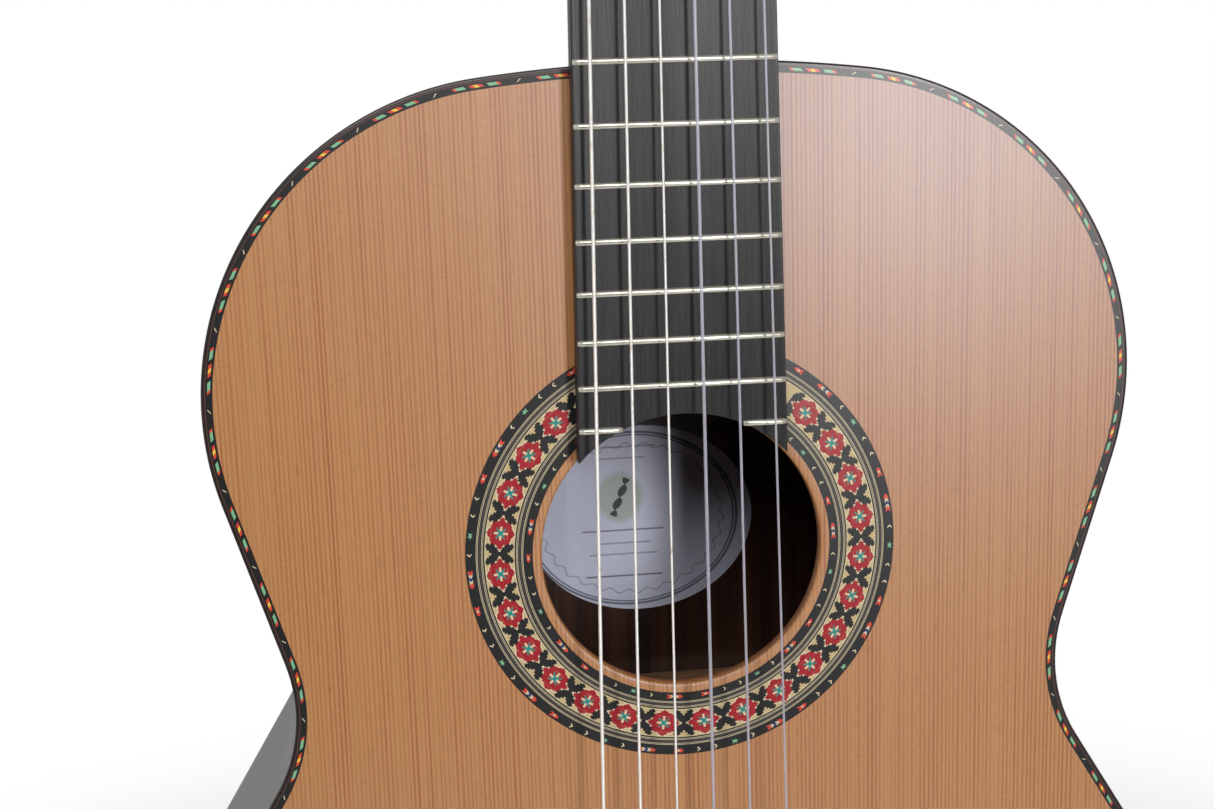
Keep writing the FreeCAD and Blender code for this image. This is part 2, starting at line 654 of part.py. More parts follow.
def make_head():
    """Slotted head, bored for the rollers and rounded into the neck, and its veneer."""
    solid = head_plan(0, dim("head_thickness"))
    tools = [below_head()]
    gap, depth = dim("running_gap"), dim("roller_depth")
    for side in (-1, 1):
        for w in ROLLERS:
            outer = Part.makeCylinder(dim("journal_radius") + gap, 30, flat(side * 12, w, depth), Vector(side, 0, 0))
            inner = Part.makeCylinder(dim("pin_radius") + gap, 10, flat(side * 2.9, w, depth), Vector(side, 0, 0))
            tools += [outer, inner]
        for w in SCREWS:
            tools.append(Part.makeCylinder(1.1, 10, flat(side * 26.0, w, depth), Vector(side, 0, 0)))
    start = neck_section(neck_width(dim("nut_thickness")), dim("neck_depth_nut"))
    start.translate(Vector(0, 0, dim("nut_thickness")))
    start.Placement = HEAD.inverse().multiply(start.Placement)
    finish = neck_section(124.0, 36.0)
    finish.translate(Vector(0, 0, 40))
    blend = Part.makeLoft([start, finish], True, True)
    corners = Part.makeBox(160, 60, 60, Vector(-80, 0.001, -22)).cut(blend)
    tools.append(corners)
    feature("headstock", solid.cut(tools), HEAD)

    veneer = head_plan(-dim("veneer_thickness"), 0).cut(below_head())
    feature("head_veneer", veneer, HEAD)


def gear_shape():
    """Gear on the X axis at the origin, with a tooth gap facing down, and its fixing screw."""
    teeth, module = int(dim("gear_teeth")), dim("gear_module")
    pitch = teeth * module / 2
    root, tip = pitch - 1.25 * module, pitch + module
    half_root, half_tip = 0.62, 0.25
    points = []
    for tooth in range(teeth):
        middle = -90 + 360 / teeth * (tooth + 0.5)
        for radius, half in ((root, half_root), (tip, half_tip), (tip, -half_tip), (root, -half_root)):
            turn = math.radians(middle) - half / radius
            points.append(Vector(0, radius * math.cos(turn), radius * math.sin(turn)))
    width = dim("gear_width")
    disc = Part.Face(Part.makePolygon(points + points[:1])).extrude(Vector(width, 0, 0))
    bore = Part.makeCylinder(dim("journal_radius"), width + 2, Vector(-1, 0, 0), Vector(1, 0, 0))
    head = Part.makeCylinder(3.4, 1.3, Vector(width, 0, 0), Vector(1, 0, 0))
    shank = Part.makeCylinder(1.2, 6.0, Vector(width - 6, 0, 0), Vector(1, 0, 0))
    driver = Part.makeBox(1.0, 8, 0.8, Vector(width + 0.6, -4, -0.4))
    return Part.makeCompound([disc.cut(bore), head.fuse(shank).cut(driver).removeSplitter()])


def roller_shape():
    """Roller on the X axis between the slot's cheeks, with both journals and the string hole."""
    inner, outer = dim("slot_inner") + 0.15, dim("slot_outer") - 0.15
    end = dim("head_half") + dim("plate_thickness") + dim("worm_offset") + dim("gear_width") / 2
    drum = Part.makeCylinder(dim("roller_radius"), outer - inner, Vector(inner, 0, 0), Vector(1, 0, 0))
    pin = Part.makeCylinder(dim("pin_radius"), 4.0, Vector(3.2, 0, 0), Vector(1, 0, 0))
    journal = Part.makeCylinder(dim("journal_radius"), end - outer, Vector(outer, 0, 0), Vector(1, 0, 0))
    hole = Part.makeCylinder(0.8, 20, Vector((inner + outer) / 2 + 4.5, 0, -10), Vector(0, 0, 1))
    thread = Part.makeCylinder(1.2, 6.0, Vector(end - 6, 0, 0), Vector(1, 0, 0))
    return drum.fuse([pin, journal]).cut([hole, thread]).removeSplitter()


def worm_shape():
    """Worm shaft on the Y axis, its thread's middle at the origin and one turn facing up."""
    pitch = math.pi * dim("gear_module")
    mid = dim("worm_pitch_radius")
    root, tip = mid - 1.25 * dim("gear_module"), mid + dim("gear_module")
    turns = 3
    half_root, half_tip = 0.49, 0.17
    helix = Part.makeHelix(pitch, pitch * turns, mid)
    corners = [Vector(root - 0.3, 0, -half_root), Vector(tip, 0, -half_tip), Vector(tip, 0, half_tip),
               Vector(root - 0.3, 0, half_root), Vector(root - 0.3, 0, -half_root)]
    thread = Part.Wire(helix).makePipeShell([Part.makePolygon(corners)], True, True)
    thread.translate(Vector(0, 0, -pitch * turns / 2))
    thread.rotate(Vector(0, 0, 0), Vector(0, 0, 1), 180 - 90)
    core = Part.makeCylinder(root, 9.6, Vector(0, 0, -4.8))
    shaft = Part.makeCylinder(dim("worm_shaft"), 31.0, Vector(0, 0, -8.7))
    worm = core.fuse([thread, shaft])
    worm.rotate(Vector(0, 0, 0), Vector(1, 0, 0), -90)
    return worm


BUTTON_START = 14.2     # collar behind the worm's middle
BUTTON_NECK = 3.0       # bare collar before the button widens
BUTTON_ROUND = 3.6


def button_shape():
    """Flattened button on the Y axis with a collar toward the head."""
    length, wide, thin = dim("button_length"), dim("button_width"), dim("button_depth")
    start, neck = BUTTON_START, BUTTON_NECK
    blank = Part.makeBox(thin, length - neck, wide, Vector(-thin / 2, start + neck, -wide / 2))
    knob = blank.makeFillet(BUTTON_ROUND, blank.Edges)
    collar = Part.makeCone(3.4, 4.4, neck + 2, Vector(0, start, 0), Vector(0, 1, 0))
    shaft = Part.makeCylinder(dim("worm_shaft"), 40, Vector(0, -17.7, 0), Vector(0, 1, 0))
    return knob.fuse(collar).removeSplitter().cut(shaft)


def plate_shape():
    """Machine plate on the treble side, with a pair of bearing lugs for each worm."""
    face, depth = dim("head_half"), dim("roller_depth")
    thick, gap = dim("plate_thickness"), dim("running_gap")
    plate = Part.makeBox(thick, 15.8, 108, Vector(face, depth - 7.9, 39.5))
    upright = [edge for edge in plate.Edges if abs(edge.tangentAt(edge.FirstParameter).x) > 0.9]
    plate = plate.makeFillet(3.0, upright)
    axis_x = face + thick + dim("worm_offset")
    lower = dim("gear_teeth") * dim("gear_module") / 2 + dim("worm_pitch_radius")
    tools, lugs = [], []
    for w in ROLLERS:
        tools.append(Part.makeCylinder(dim("journal_radius") + gap, 20, flat(face - 5, w, depth), Vector(1, 0, 0)))
        for start in (depth - 7.9, depth + 4.9):
            arm = Part.makeBox(axis_x - face - thick, 3.0, 6.4, Vector(face + thick, start, w - lower - 3.2))
            eye = Part.makeCylinder(3.2, 3.0, Vector(axis_x, start, w - lower), Vector(0, 1, 0))
            lugs.append(arm.fuse(eye))
        tools.append(Part.makeCylinder(dim("worm_shaft") + gap, 40, Vector(axis_x, -10, w - lower), Vector(0, 1, 0)))
    for w in SCREWS:
        tools.append(Part.makeCylinder(1.1, 10, flat(face - 5, w, depth), Vector(1, 0, 0)))
    return plate.fuse(lugs).cut(tools).removeSplitter()


def other_side(shape):
    """The same shape on the bass side."""
    return shape.mirror(Vector(0, 0, 0), Vector(1, 0, 0))


def make_machine_heads():
    """Plates, screws, rollers, gears, worms and buttons. Tuner 1 is the treble E string."""
    face, depth, thick = dim("head_half"), dim("roller_depth"), dim("plate_thickness")
    plate = plate_shape()
    feature("machine_plate_treble", plate, HEAD)
    feature("machine_plate_bass", other_side(plate), HEAD)
    screws = []
    for w in SCREWS:
        head = Part.makeSphere(3.2, flat(face + thick - 1.8, w, depth))
        head = head.common(Part.makeBox(5, 12, 12, flat(face + thick, w - 6, depth - 6)))
        shank = Part.makeCylinder(1.1, 10 + thick, flat(face - 10, w, depth), Vector(1, 0, 0))
        driver = Part.makeBox(2, 8, 0.7, flat(face + thick + 0.7, w - 0.35, depth - 4))
        screws.append(head.fuse(shank).cut(driver).removeSplitter())
    feature("machine_screws", Part.makeCompound(screws + [other_side(screw) for screw in screws]), HEAD)

    axis_x = face + thick + dim("worm_offset")
    lower = dim("gear_teeth") * dim("gear_module") / 2 + dim("worm_pitch_radius")
    gear_x = axis_x - dim("gear_width") / 2
    for tuner in range(1, 7):
        treble = tuner <= 3
        place = tuner - 1 if treble else 6 - tuner
        w = ROLLERS[place]
        roller = roller_shape()
        gear = gear_shape().translated(Vector(gear_x, 0, 0))
        if not treble:
            roller, gear = other_side(roller), other_side(gear)
        feature(f"roller_{tuner}", roller.translated(flat(0, w, depth)), HEAD)
        feature(f"gear_{tuner}", gear.translated(flat(0, w, depth)), HEAD)
        middle = flat(axis_x if treble else -axis_x, w - lower, depth)
        feature(f"worm_{tuner}", worm_shape().translated(middle), HEAD)
        feature(f"button_{tuner}", button_shape().translated(middle), HEAD)


# ---------------------------------------------------------------- bridge and strings

def make_bridge():
    """Rosewood bridge with saddle ridge, tie block and wings, its saddle and the bone edges."""
    front = SADDLE_Z + 6.5
    back = front - dim("bridge_width")
    half, tie, high = dim("bridge_half"), dim("tie_half"), dim("bridge_height")
    width, wing = dim("bridge_width"), dim("wing_height")
    slab = Part.makeBox(2 * half, wing, width, Vector(-half, -wing, back))
    corners = [edge for edge in slab.Edges if abs(edge.tangentAt(edge.FirstParameter).y) > 0.9]
    slab = slab.makeFillet(9.0, corners)
    face_edges = [edge for edge in slab.Edges if abs(edge.CenterOfMass.y + wing) < 0.01]
    slab = slab.makeFillet(1.6, face_edges)
    ridge = Part.makeBox(2 * tie, high, dim("ridge_width"), Vector(-tie, -high, front - dim("ridge_width")))
    block = Part.makeBox(2 * tie, high, dim("tie_width"), Vector(-tie, -high, back))
    valley = Part.makeBox(2 * tie, high - 3.5, width, Vector(-tie, -high + 3.5, back))
    body = slab.fuse([ridge, block, valley])
    slot = Part.makeBox(2 * dim("saddle_half"), 6.0, dim("saddle_thickness"),
                        Vector(-dim("saddle_half"), -high, SADDLE_Z - dim("saddle_thickness") / 2))
    tools = [slot]
    for x in string_places("string_saddle_half"):
        tools.append(Part.makeCylinder(0.95, width, Vector(x, -dim("tie_hole_height"), back - 1), Vector(0, 0, 1)))
    strips = []
    for z in (back + 0.001, back + dim("tie_width") - 1.8):
        strips.append(Part.makeBox(2 * tie, 1.2, 1.8, Vector(-tie, -high, z)))
    feature("tie_block_inlay", Part.makeCompound(strips))
    feature("bridge", body.cut(tools + strips).removeSplitter())

    top = dim("saddle_top") - high + 6.0
    blank = Part.makeBox(2 * dim("saddle_half"), top, dim("saddle_thickness"),
                         Vector(-dim("saddle_half"), -dim("saddle_top"), SADDLE_Z - dim("saddle_thickness") / 2))
    crown = [edge for edge in blank.Edges
             if abs(edge.CenterOfMass.y + dim("saddle_top")) < 0.01 and edge.Length > 20]
    feature("saddle", blank.makeFillet(dim("saddle_round"), crown))


def string_places(alias):
    """Positions across of strings 1 to 6, treble first."""
    half = dim(alias)
    return [half - 2 * half * step / 5 for step in range(6)]


STRING_RADII = [0.36, 0.41, 0.52, 0.38, 0.46, 0.55]
ROLLER_REST = [20.0, 16.0, 12.0, -12.0, -16.0, -20.0]
STRING_NUT_HEIGHT = 9.0


def bent_rod(points, radius, bends):
    """A round rod along straight runs joined by tangent arcs of the given radii."""
    edges = []
    last = points[0]
    for before, corner, after, bend in zip(points, points[1:], points[2:], bends):
        into, out = (corner - before).normalize(), (after - corner).normalize()
        half_turn = into.getAngle(out) / 2
        reach = bend * math.tan(half_turn)
        start, end = corner - into * reach, corner + out * reach
        inward = (out - into).normalize()
        middle = corner + inward * (bend / math.cos(half_turn) - bend)
        edges.append(Part.LineSegment(last, start).toShape())
        edges.append(Part.Arc(start, middle, end).toShape())
        last = end
    edges.append(Part.LineSegment(last, points[-1]).toShape())
    path = Part.Wire(edges)
    ring = Part.Wire(Part.makeCircle(radius, points[0], points[1] - points[0]))
    rod = path.makePipeShell([ring], True, False)
    length = sum(edge.Length for edge in edges)
    if abs(rod.Volume / (math.pi * radius ** 2 * length) - 1) > 0.02:
        raise RuntimeError("a string's volume doesn't match its length")
    return rod


def roller_touch(nut_point, place, radius):
    """Where a string from the nut first touches the front of its roller."""
    local = HEAD.inverse().multVec(nut_point)
    centre = (dim("roller_depth"), ROLLERS[place])
    away_v, away_w = local.y - centre[0], local.z - centre[1]
    span = math.hypot(away_v, away_w)
    around = dim("roller_radius") + radius + 0.15
    turn = math.atan2(away_w, away_v) - math.acos(around / span)
    return centre[0] + around * math.cos(turn), centre[1] + around * math.sin(turn)


def make_strings():
    """Six strings, each from its loop over the tie block through bridge and nut to its roller."""
    back = SADDLE_Z + 6.5 - dim("bridge_width")
    block_front = back + dim("tie_width")
    hole, high = dim("tie_hole_height"), dim("bridge_height")
    gap = 0.06
    for place, (x_nut, x_saddle, radius) in enumerate(zip(
            string_places("string_nut_half"), string_places("string_saddle_half"), STRING_RADII)):
        over = high + radius + gap
        behind = back - radius - gap - 0.3
        nut_point = Vector(x_nut, -STRING_NUT_HEIGHT - gap, dim("nut_thickness") - 1.0)
        roller = place if place < 3 else 5 - place
        v, w = roller_touch(nut_point, roller, radius)
        end = HEAD.multVec(Vector(ROLLER_REST[place], v, w))
        points = [
            Vector(x_saddle, -over, block_front + 1.0),
            Vector(x_saddle, -over, behind),
            Vector(x_saddle, -hole, behind),
            Vector(x_saddle, -hole, block_front + 1.0),
            Vector(x_saddle, -dim("saddle_top") - radius - gap, SADDLE_Z - 0.8),
            nut_point,
            end,
        ]
        bends = [0.7, 0.7, 1.4, dim("saddle_round") + radius + gap, 2.0]
        feature(f"string_{place + 1}", bent_rod(points, radius, bends))


def make_nut():
    """Bone nut with a round-bottomed slot for each string."""
    height, thick = dim("nut_height"), dim("nut_thickness")
    blank = box("NutBlank", ("-nut_width / 2", "-nut_height", "0"), ("nut_width", "nut_height", "nut_thickness"))
    DOC.recompute()
    tools = []
    for x, radius in zip(string_places("string_nut_half"), STRING_RADII):
        floor = STRING_NUT_HEIGHT - radius
        for lean in (0, 26):
            slot = Part.makeBox(2 * radius + 0.24, height, 30, Vector(x - radius - 0.12, -floor - height, -1.5 * thick))
            slot.rotate(Vector(x, -floor, thick - 1.6), Vector(1, 0, 0), -lean)
            tools.append(slot)
    feature("nut", blank.Shape.cut(tools))


# ---------------------------------------------------------------- assembly and export

def check_and_export():
    """Stop on any failed object, then write one STEP file for each sub-part."""
    DOC.recompute()
    for obj in DOC.Objects:
        if "Invalid" in obj.State or "Error" in obj.State:
            raise RuntimeError(f"{obj.Label} failed: {obj.State}")
    os.makedirs("parts", exist_ok=True)
    for obj in NODES:
        shape = obj.Shape
        if shape.isNull() or not shape.isValid() or not shape.Solids:
            raise RuntimeError(f"{obj.Label} has no valid solid")
        shape.exportStep(f"parts/{obj.Label}.step")
        print(f"{obj.Label:22s} solids {len(shape.Solids):2d}  volume {shape.Volume / 1000:9.3f} cm3")
    print(len(NODES), "nodes")


make_soundboard()
make_rosette()
heel_web = make_rim()
make_back()
make_linings()
make_tail_block()
make_braces()
make_label()
DOC.recompute()
make_neck(heel_web)
make_fretboard()
make_head()
make_machine_heads()
make_bridge()
make_nut()
make_strings()
check_and_export()
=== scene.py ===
"""Looks of a classical guitar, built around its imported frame.

Lengths in the tables and functions below are millimetres in the frame of the part: the origin is
the middle of the nut's lower edge, +X the treble side, +Y the back, +Z up the neck. Meshes are
written in metres.
"""

import math

import bmesh
import bpy
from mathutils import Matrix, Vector
from mathutils.geometry import tessellate_polygon


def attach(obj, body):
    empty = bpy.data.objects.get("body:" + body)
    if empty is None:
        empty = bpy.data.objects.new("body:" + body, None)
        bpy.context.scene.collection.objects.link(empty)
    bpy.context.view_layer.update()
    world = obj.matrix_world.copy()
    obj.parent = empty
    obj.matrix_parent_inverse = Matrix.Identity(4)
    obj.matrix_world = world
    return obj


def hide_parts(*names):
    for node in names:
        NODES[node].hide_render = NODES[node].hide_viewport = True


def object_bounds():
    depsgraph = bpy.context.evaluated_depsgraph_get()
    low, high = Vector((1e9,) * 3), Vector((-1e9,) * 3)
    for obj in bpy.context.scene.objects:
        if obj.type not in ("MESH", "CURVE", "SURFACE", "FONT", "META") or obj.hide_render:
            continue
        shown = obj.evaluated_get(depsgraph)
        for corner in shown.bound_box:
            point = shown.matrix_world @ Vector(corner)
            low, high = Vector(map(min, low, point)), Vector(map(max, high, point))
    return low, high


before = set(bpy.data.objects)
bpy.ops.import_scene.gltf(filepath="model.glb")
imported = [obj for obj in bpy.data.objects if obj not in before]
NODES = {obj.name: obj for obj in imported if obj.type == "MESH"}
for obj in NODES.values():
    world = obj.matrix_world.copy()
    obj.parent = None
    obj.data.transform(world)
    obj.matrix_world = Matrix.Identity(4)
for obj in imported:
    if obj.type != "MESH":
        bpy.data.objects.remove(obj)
CAD_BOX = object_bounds()

MM = 0.001
SMOOTH_ANGLE = math.radians(32)

# Sound box.
STRING_LENGTH = 650.0
BODY_TOP = -STRING_LENGTH / 2
BODY_LENGTH = 488.0
HOLE_Z = BODY_TOP - 148.44
HOLE_RADIUS = 43.66
HOLE_STEPS = 240
TOP_THICKNESS = 2.4
# Distances in from the outline: the binding's inner face and the edge of the cedar.
BINDING = 1.4
EDGE = 3.5
BINDING_DEPTH = 6.0
# The channel of the rosette, and how far its black grounds lie below the cedar.
CHANNEL_INNER, CHANNEL_OUTER, CHANNEL_DEPTH = 46.5, 67.16, 1.2
RECESS = 0.02

# Neck and head.
BOARD_FACE = -7.0
BOARD_ARC = 44.2
NUT_HALF = 25.5
JOINT_HALF = 30.25
NUT_THICKNESS = 5.0
HEAD_TILT = math.radians(15)
ROLLER_AXES = (62.0, 97.0, 132.0)
ROLLER_DEPTH = 9.5
ROLLER_RADIUS = 5.0
WORM_X = 41.5
WORM_DROP = 8.6

# Strings, treble first: radius, and place across on the rollers.
STRING_RADII = (0.36, 0.41, 0.52, 0.38, 0.46, 0.55)
ROLLER_REST = (20.0, 16.0, 12.0, -12.0, -16.0, -20.0)
SADDLE_Z = -651.5
BRIDGE_LENGTH, BRIDGE_FRONT, TIE_BLOCK = 28.0, 6.5, 11.0
BRIDGE_BACK = SADDLE_Z + BRIDGE_FRONT - BRIDGE_LENGTH


# ---------------------------------------------------------------- mesh helpers

def piece(name, mesh, materials, body, slot, *replaced):
    """A finished object from a mesh in millimetres, riding on a body of the frame."""
    bmesh.ops.scale(mesh, vec=(MM, MM, MM), verts=mesh.verts)
    bmesh.ops.recalc_face_normals(mesh, faces=mesh.faces)
    data = bpy.data.meshes.new(name)
    mesh.to_mesh(data)
    mesh.free()
    for material in materials:
        data.materials.append(material)
    data.shade_smooth()
    data.set_sharp_from_angle(angle=SMOOTH_ANGLE)
    obj = bpy.data.objects.new(name, data)
    bpy.context.scene.collection.objects.link(obj)
    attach(obj, body)
    if replaced:
        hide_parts(*replaced)


def add_loop(mesh, points):
    """New vertices at the points."""
    return [mesh.verts.new(point) for point in points]


def bridge_loops(mesh, first, second, material=0):
    """Quads between two closed rows of vertices."""
    for i in range(len(first)):
        j = (i + 1) % len(first)
        mesh.faces.new((first[i], first[j], second[j], second[i])).material_index = material


def bridge_all(mesh, rows, material=0):
    """Quads from each row of vertices to the next."""
    for first, second in zip(rows, rows[1:]):
        bridge_loops(mesh, first, second, material)


def cap(mesh, rows):
    """Fill the plane region inside the first row of vertices and outside the others."""
    flat = [vert for row in rows for vert in row]
    for corners in tessellate_polygon([[vert.co for vert in row] for row in rows]):
        mesh.faces.new([flat[i] for i in corners])


def inset_loop(loop, distance):
    """A plan loop moved to its left by a distance, with mitred corners."""
    moved = []
    count = len(loop)
    for i in range(count):
        before, here, after = loop[i - 1], loop[i], loop[(i + 1) % count]
        into = (here - before).normalized()
        out = (after - here).normalized()
        left_in, left_out = Vector((-into.y, into.x)), Vector((-out.y, out.x))
        middle = left_in + left_out
        middle.normalize()
        moved.append(here + middle * (distance / max(0.4, middle.dot(left_out))))
    return moved


def slab(mesh, loop, profile):
    """A plate with rounded edges. The loop of (x, z) has the material on its left, and the
    profile lists the (inset, y) of each level from the front to the back."""
    levels = [add_loop(mesh, [(p.x, y, p.y) for p in inset_loop(loop, inset)]) for inset, y in profile]
    cap(mesh, levels[:1])
    bridge_all(mesh, levels)
    cap(mesh, levels[-1:])


def rounded_edge(radius, front, steps):
    """The (inset, y) of each level of a rounded front edge."""
    turns = [math.pi / 2 * i / steps for i in range(steps + 1)]
    return [(radius * (1 - math.sin(turn)), front + radius * (1 - math.cos(turn))) for turn in turns]


def hole_circle(mesh, radius, y):
    """A row of vertices around the soundhole."""
    turns = [math.tau * i / HOLE_STEPS for i in range(HOLE_STEPS)]
    return add_loop(mesh, [(radius * math.cos(t), y, HOLE_Z + radius * math.sin(t)) for t in turns])


def prism(mesh, points, front, back, material=0):
    """A closed upright prism over a small convex or star-shaped plan polygon."""
    near = add_loop(mesh, [(x, front, z) for x, z in points])
    far = add_loop(mesh, [(x, back, z) for x, z in points])
    mesh.faces.new(near).material_index = material
    mesh.faces.new(list(reversed(far))).material_index = material
    bridge_loops(mesh, near, far, material)


def ring(mesh, inner, outer, front, back, material):
    """A flat ring around the soundhole."""
    corners = ((inner, front), (outer, front), (outer, back), (inner, back))
    rows = [hole_circle(mesh, radius, y) for radius, y in corners]
    bridge_all(mesh, rows + rows[:1], material)


def tube(mesh, points, radius, sides):
    """A round rod along a line of points, closed at both ends."""
    rows = []
    side = None
    for i, point in enumerate(points):
        ahead = points[min(i + 1, len(points) - 1)]
        behind = points[max(i - 1, 0)]
        tangent = (ahead - behind).normalized()
        if side is None:
            side = tangent.orthogonal().normalized()
        side = (side - tangent * side.dot(tangent)).normalized()
        other = tangent.cross(side)
        row = []
        for k in range(sides):
            turn = math.tau * k / sides
            row.append(point + (side * math.cos(turn) + other * math.sin(turn)) * radius)
        rows.append(add_loop(mesh, row))
    close_rod(mesh, rows)


def close_rod(mesh, rows):
    """Faces between the rows of a rod and over its two ends."""
    bridge_all(mesh, rows)
    mesh.faces.new(rows[0])
    mesh.faces.new(rows[-1][::-1])


def rounded_path(points, bends, steps=6):
    """Points along straight runs joined by tangent arcs."""
    path = [points[0]]
    for before, corner, after, bend in zip(points, points[1:], points[2:], bends):
        into, out = (corner - before).normalized(), (after - corner).normalized()
        half_turn = into.angle(out) / 2
        reach = bend * math.tan(half_turn)
        start, end = corner - into * reach, corner + out * reach
        for i in range(steps + 1):
            t = i / steps
            path.append(start * (1 - t) ** 2 + corner * (2 * t * (1 - t)) + end * t ** 2)
    path.append(points[-1])
    return path


def head_place(x, v, w):
    """A point of the tilted head: across, behind its face, and up its length."""
    y = v * math.cos(HEAD_TILT) + w * math.sin(HEAD_TILT)
    z = NUT_THICKNESS + w * math.cos(HEAD_TILT) - v * math.sin(HEAD_TILT)
    return Vector((x, y, z))


# ---------------------------------------------------------------- outline of the body

def polar(centre, radius, angle):
    """The plan point at an angle on a circle."""
    turn = math.radians(angle)
    return Vector((centre[0] + radius * math.cos(turn), centre[1] + radius * math.sin(turn)))


def outline_runs():
    """The treble half of the outline, top to tail, as (centre, radius, start, end) arcs. The
    negative radius is the hollow waist, and a straight run joins arcs that don't meet."""
    top_arc, shoulder_radius, shoulder_offset = 489.33, 96.44, 46.03
    waist_radius, waist_half, waist_drop = 52.12, 121.2, 192.01
    turn_flank, flank_radius, corner_radius, corner_offset = 31.44, 190.0, 130.0, 54.0
    bottom_arc = 424.0

    top = (0.0, BODY_TOP - top_arc)
    reach = top_arc - shoulder_radius
    shoulder = (shoulder_offset, top[1] + math.sqrt(reach ** 2 - shoulder_offset ** 2))
    waist = (waist_half + waist_radius, BODY_TOP - waist_drop)
    bottom = (0.0, BODY_TOP - BODY_LENGTH + bottom_arc)
    reach = bottom_arc - corner_radius
    corner = (corner_offset, bottom[1] - math.sqrt(reach ** 2 - corner_offset ** 2))

    turn_top = math.degrees(math.atan2(shoulder[1] - top[1], shoulder[0]))
    span = math.hypot(waist[0] - shoulder[0], waist[1] - shoulder[1])
    facing = math.degrees(math.atan2(waist[1] - shoulder[1], waist[0] - shoulder[0]))
    turn_rib = facing + math.degrees(math.acos((shoulder_radius + waist_radius) / span))
    normal = polar((0, 0), 1.0, turn_flank)
    step = flank_radius - corner_radius
    level = normal.x * (waist[0] - corner[0]) + normal.y * (waist[1] - corner[1]) - waist_radius
    turn_bout = turn_flank - math.degrees(math.acos((flank_radius - level) / step))
    flank = polar(corner, -step, turn_bout)
    turn_tail = math.degrees(math.atan2(corner[1] - bottom[1], corner[0]))
    return [
        (top, top_arc, 90.0, turn_top),
        (shoulder, shoulder_radius, turn_top, turn_rib),
        (waist, -waist_radius, turn_rib, turn_flank),
        (flank, flank_radius, turn_flank, turn_bout),
        (corner, corner_radius, turn_bout, turn_tail),
        (bottom, bottom_arc, turn_tail, -90.0),
    ]


class Rim:
    """The closed edge of the body, walked clockwise from the top."""

    SPACING = 2.6
    TOUCHING = 1e-6

    def __init__(self):
        half = []
        for centre, radius, start, end in outline_runs():
            steps = max(2, round(abs(math.radians(end - start) * radius) / self.SPACING))
            angles = [start + (end - start) * i / steps for i in range(steps + 1)]
            arc = [(polar(centre, radius, angle), polar((0, 0), 1.0, angle)) for angle in angles]
            if not half:
                half.append(arc[0])
            last, (first, normal) = half[-1][0], arc[0]
            gap = (first - last).length
            if gap > self.TOUCHING:
                count = max(1, round(gap / self.SPACING))
                half += [(last.lerp(first, i / count), normal) for i in range(1, count + 1)]
            half += arc[1:]
        other = [(Vector((-p.x, p.y)), Vector((-n.x, n.y))) for p, n in reversed(half[1:-1])]
        self.stations = half + other
        self.lengths = [0.0]
        closed = self.stations + self.stations[:1]
        for (a, _), (b, _) in zip(closed, closed[1:]):
            self.lengths.append(self.lengths[-1] + (b - a).length)
        self.total = self.lengths[-1]

    def row(self, mesh, inset, y):
        """A row of vertices along the outline at an inset."""
        points = [point - normal * inset for point, normal in self.stations]
        return add_loop(mesh, [(p.x, y, p.y) for p in points])

    def at(self, length, inset):
        """The plan point at a length along the edge."""
        length %= self.total
        low, high = 0, len(self.stations)
        while high - low > 1:
            middle = (low + high) // 2
            if self.lengths[middle] <= length:
                low = middle
            else:
                high = middle
        share = (length - self.lengths[low]) / (self.lengths[low + 1] - self.lengths[low])
        first = self.stations[low]
        second = self.stations[(low + 1) % len(self.stations)]
        point = first[0].lerp(second[0], share)
        normal = first[1].lerp(second[1], share).normalized()
        return point - normal * inset

    def sweep(self, mesh, profile, material=0):
        """A closed band around the body from a closed profile of (inset, y)."""
        rows = [self.row(mesh, inset, y) for inset, y in profile]
        bridge_all(mesh, rows + rows[:1], material)


RIM = Rim()


# ---------------------------------------------------------------- material helpers

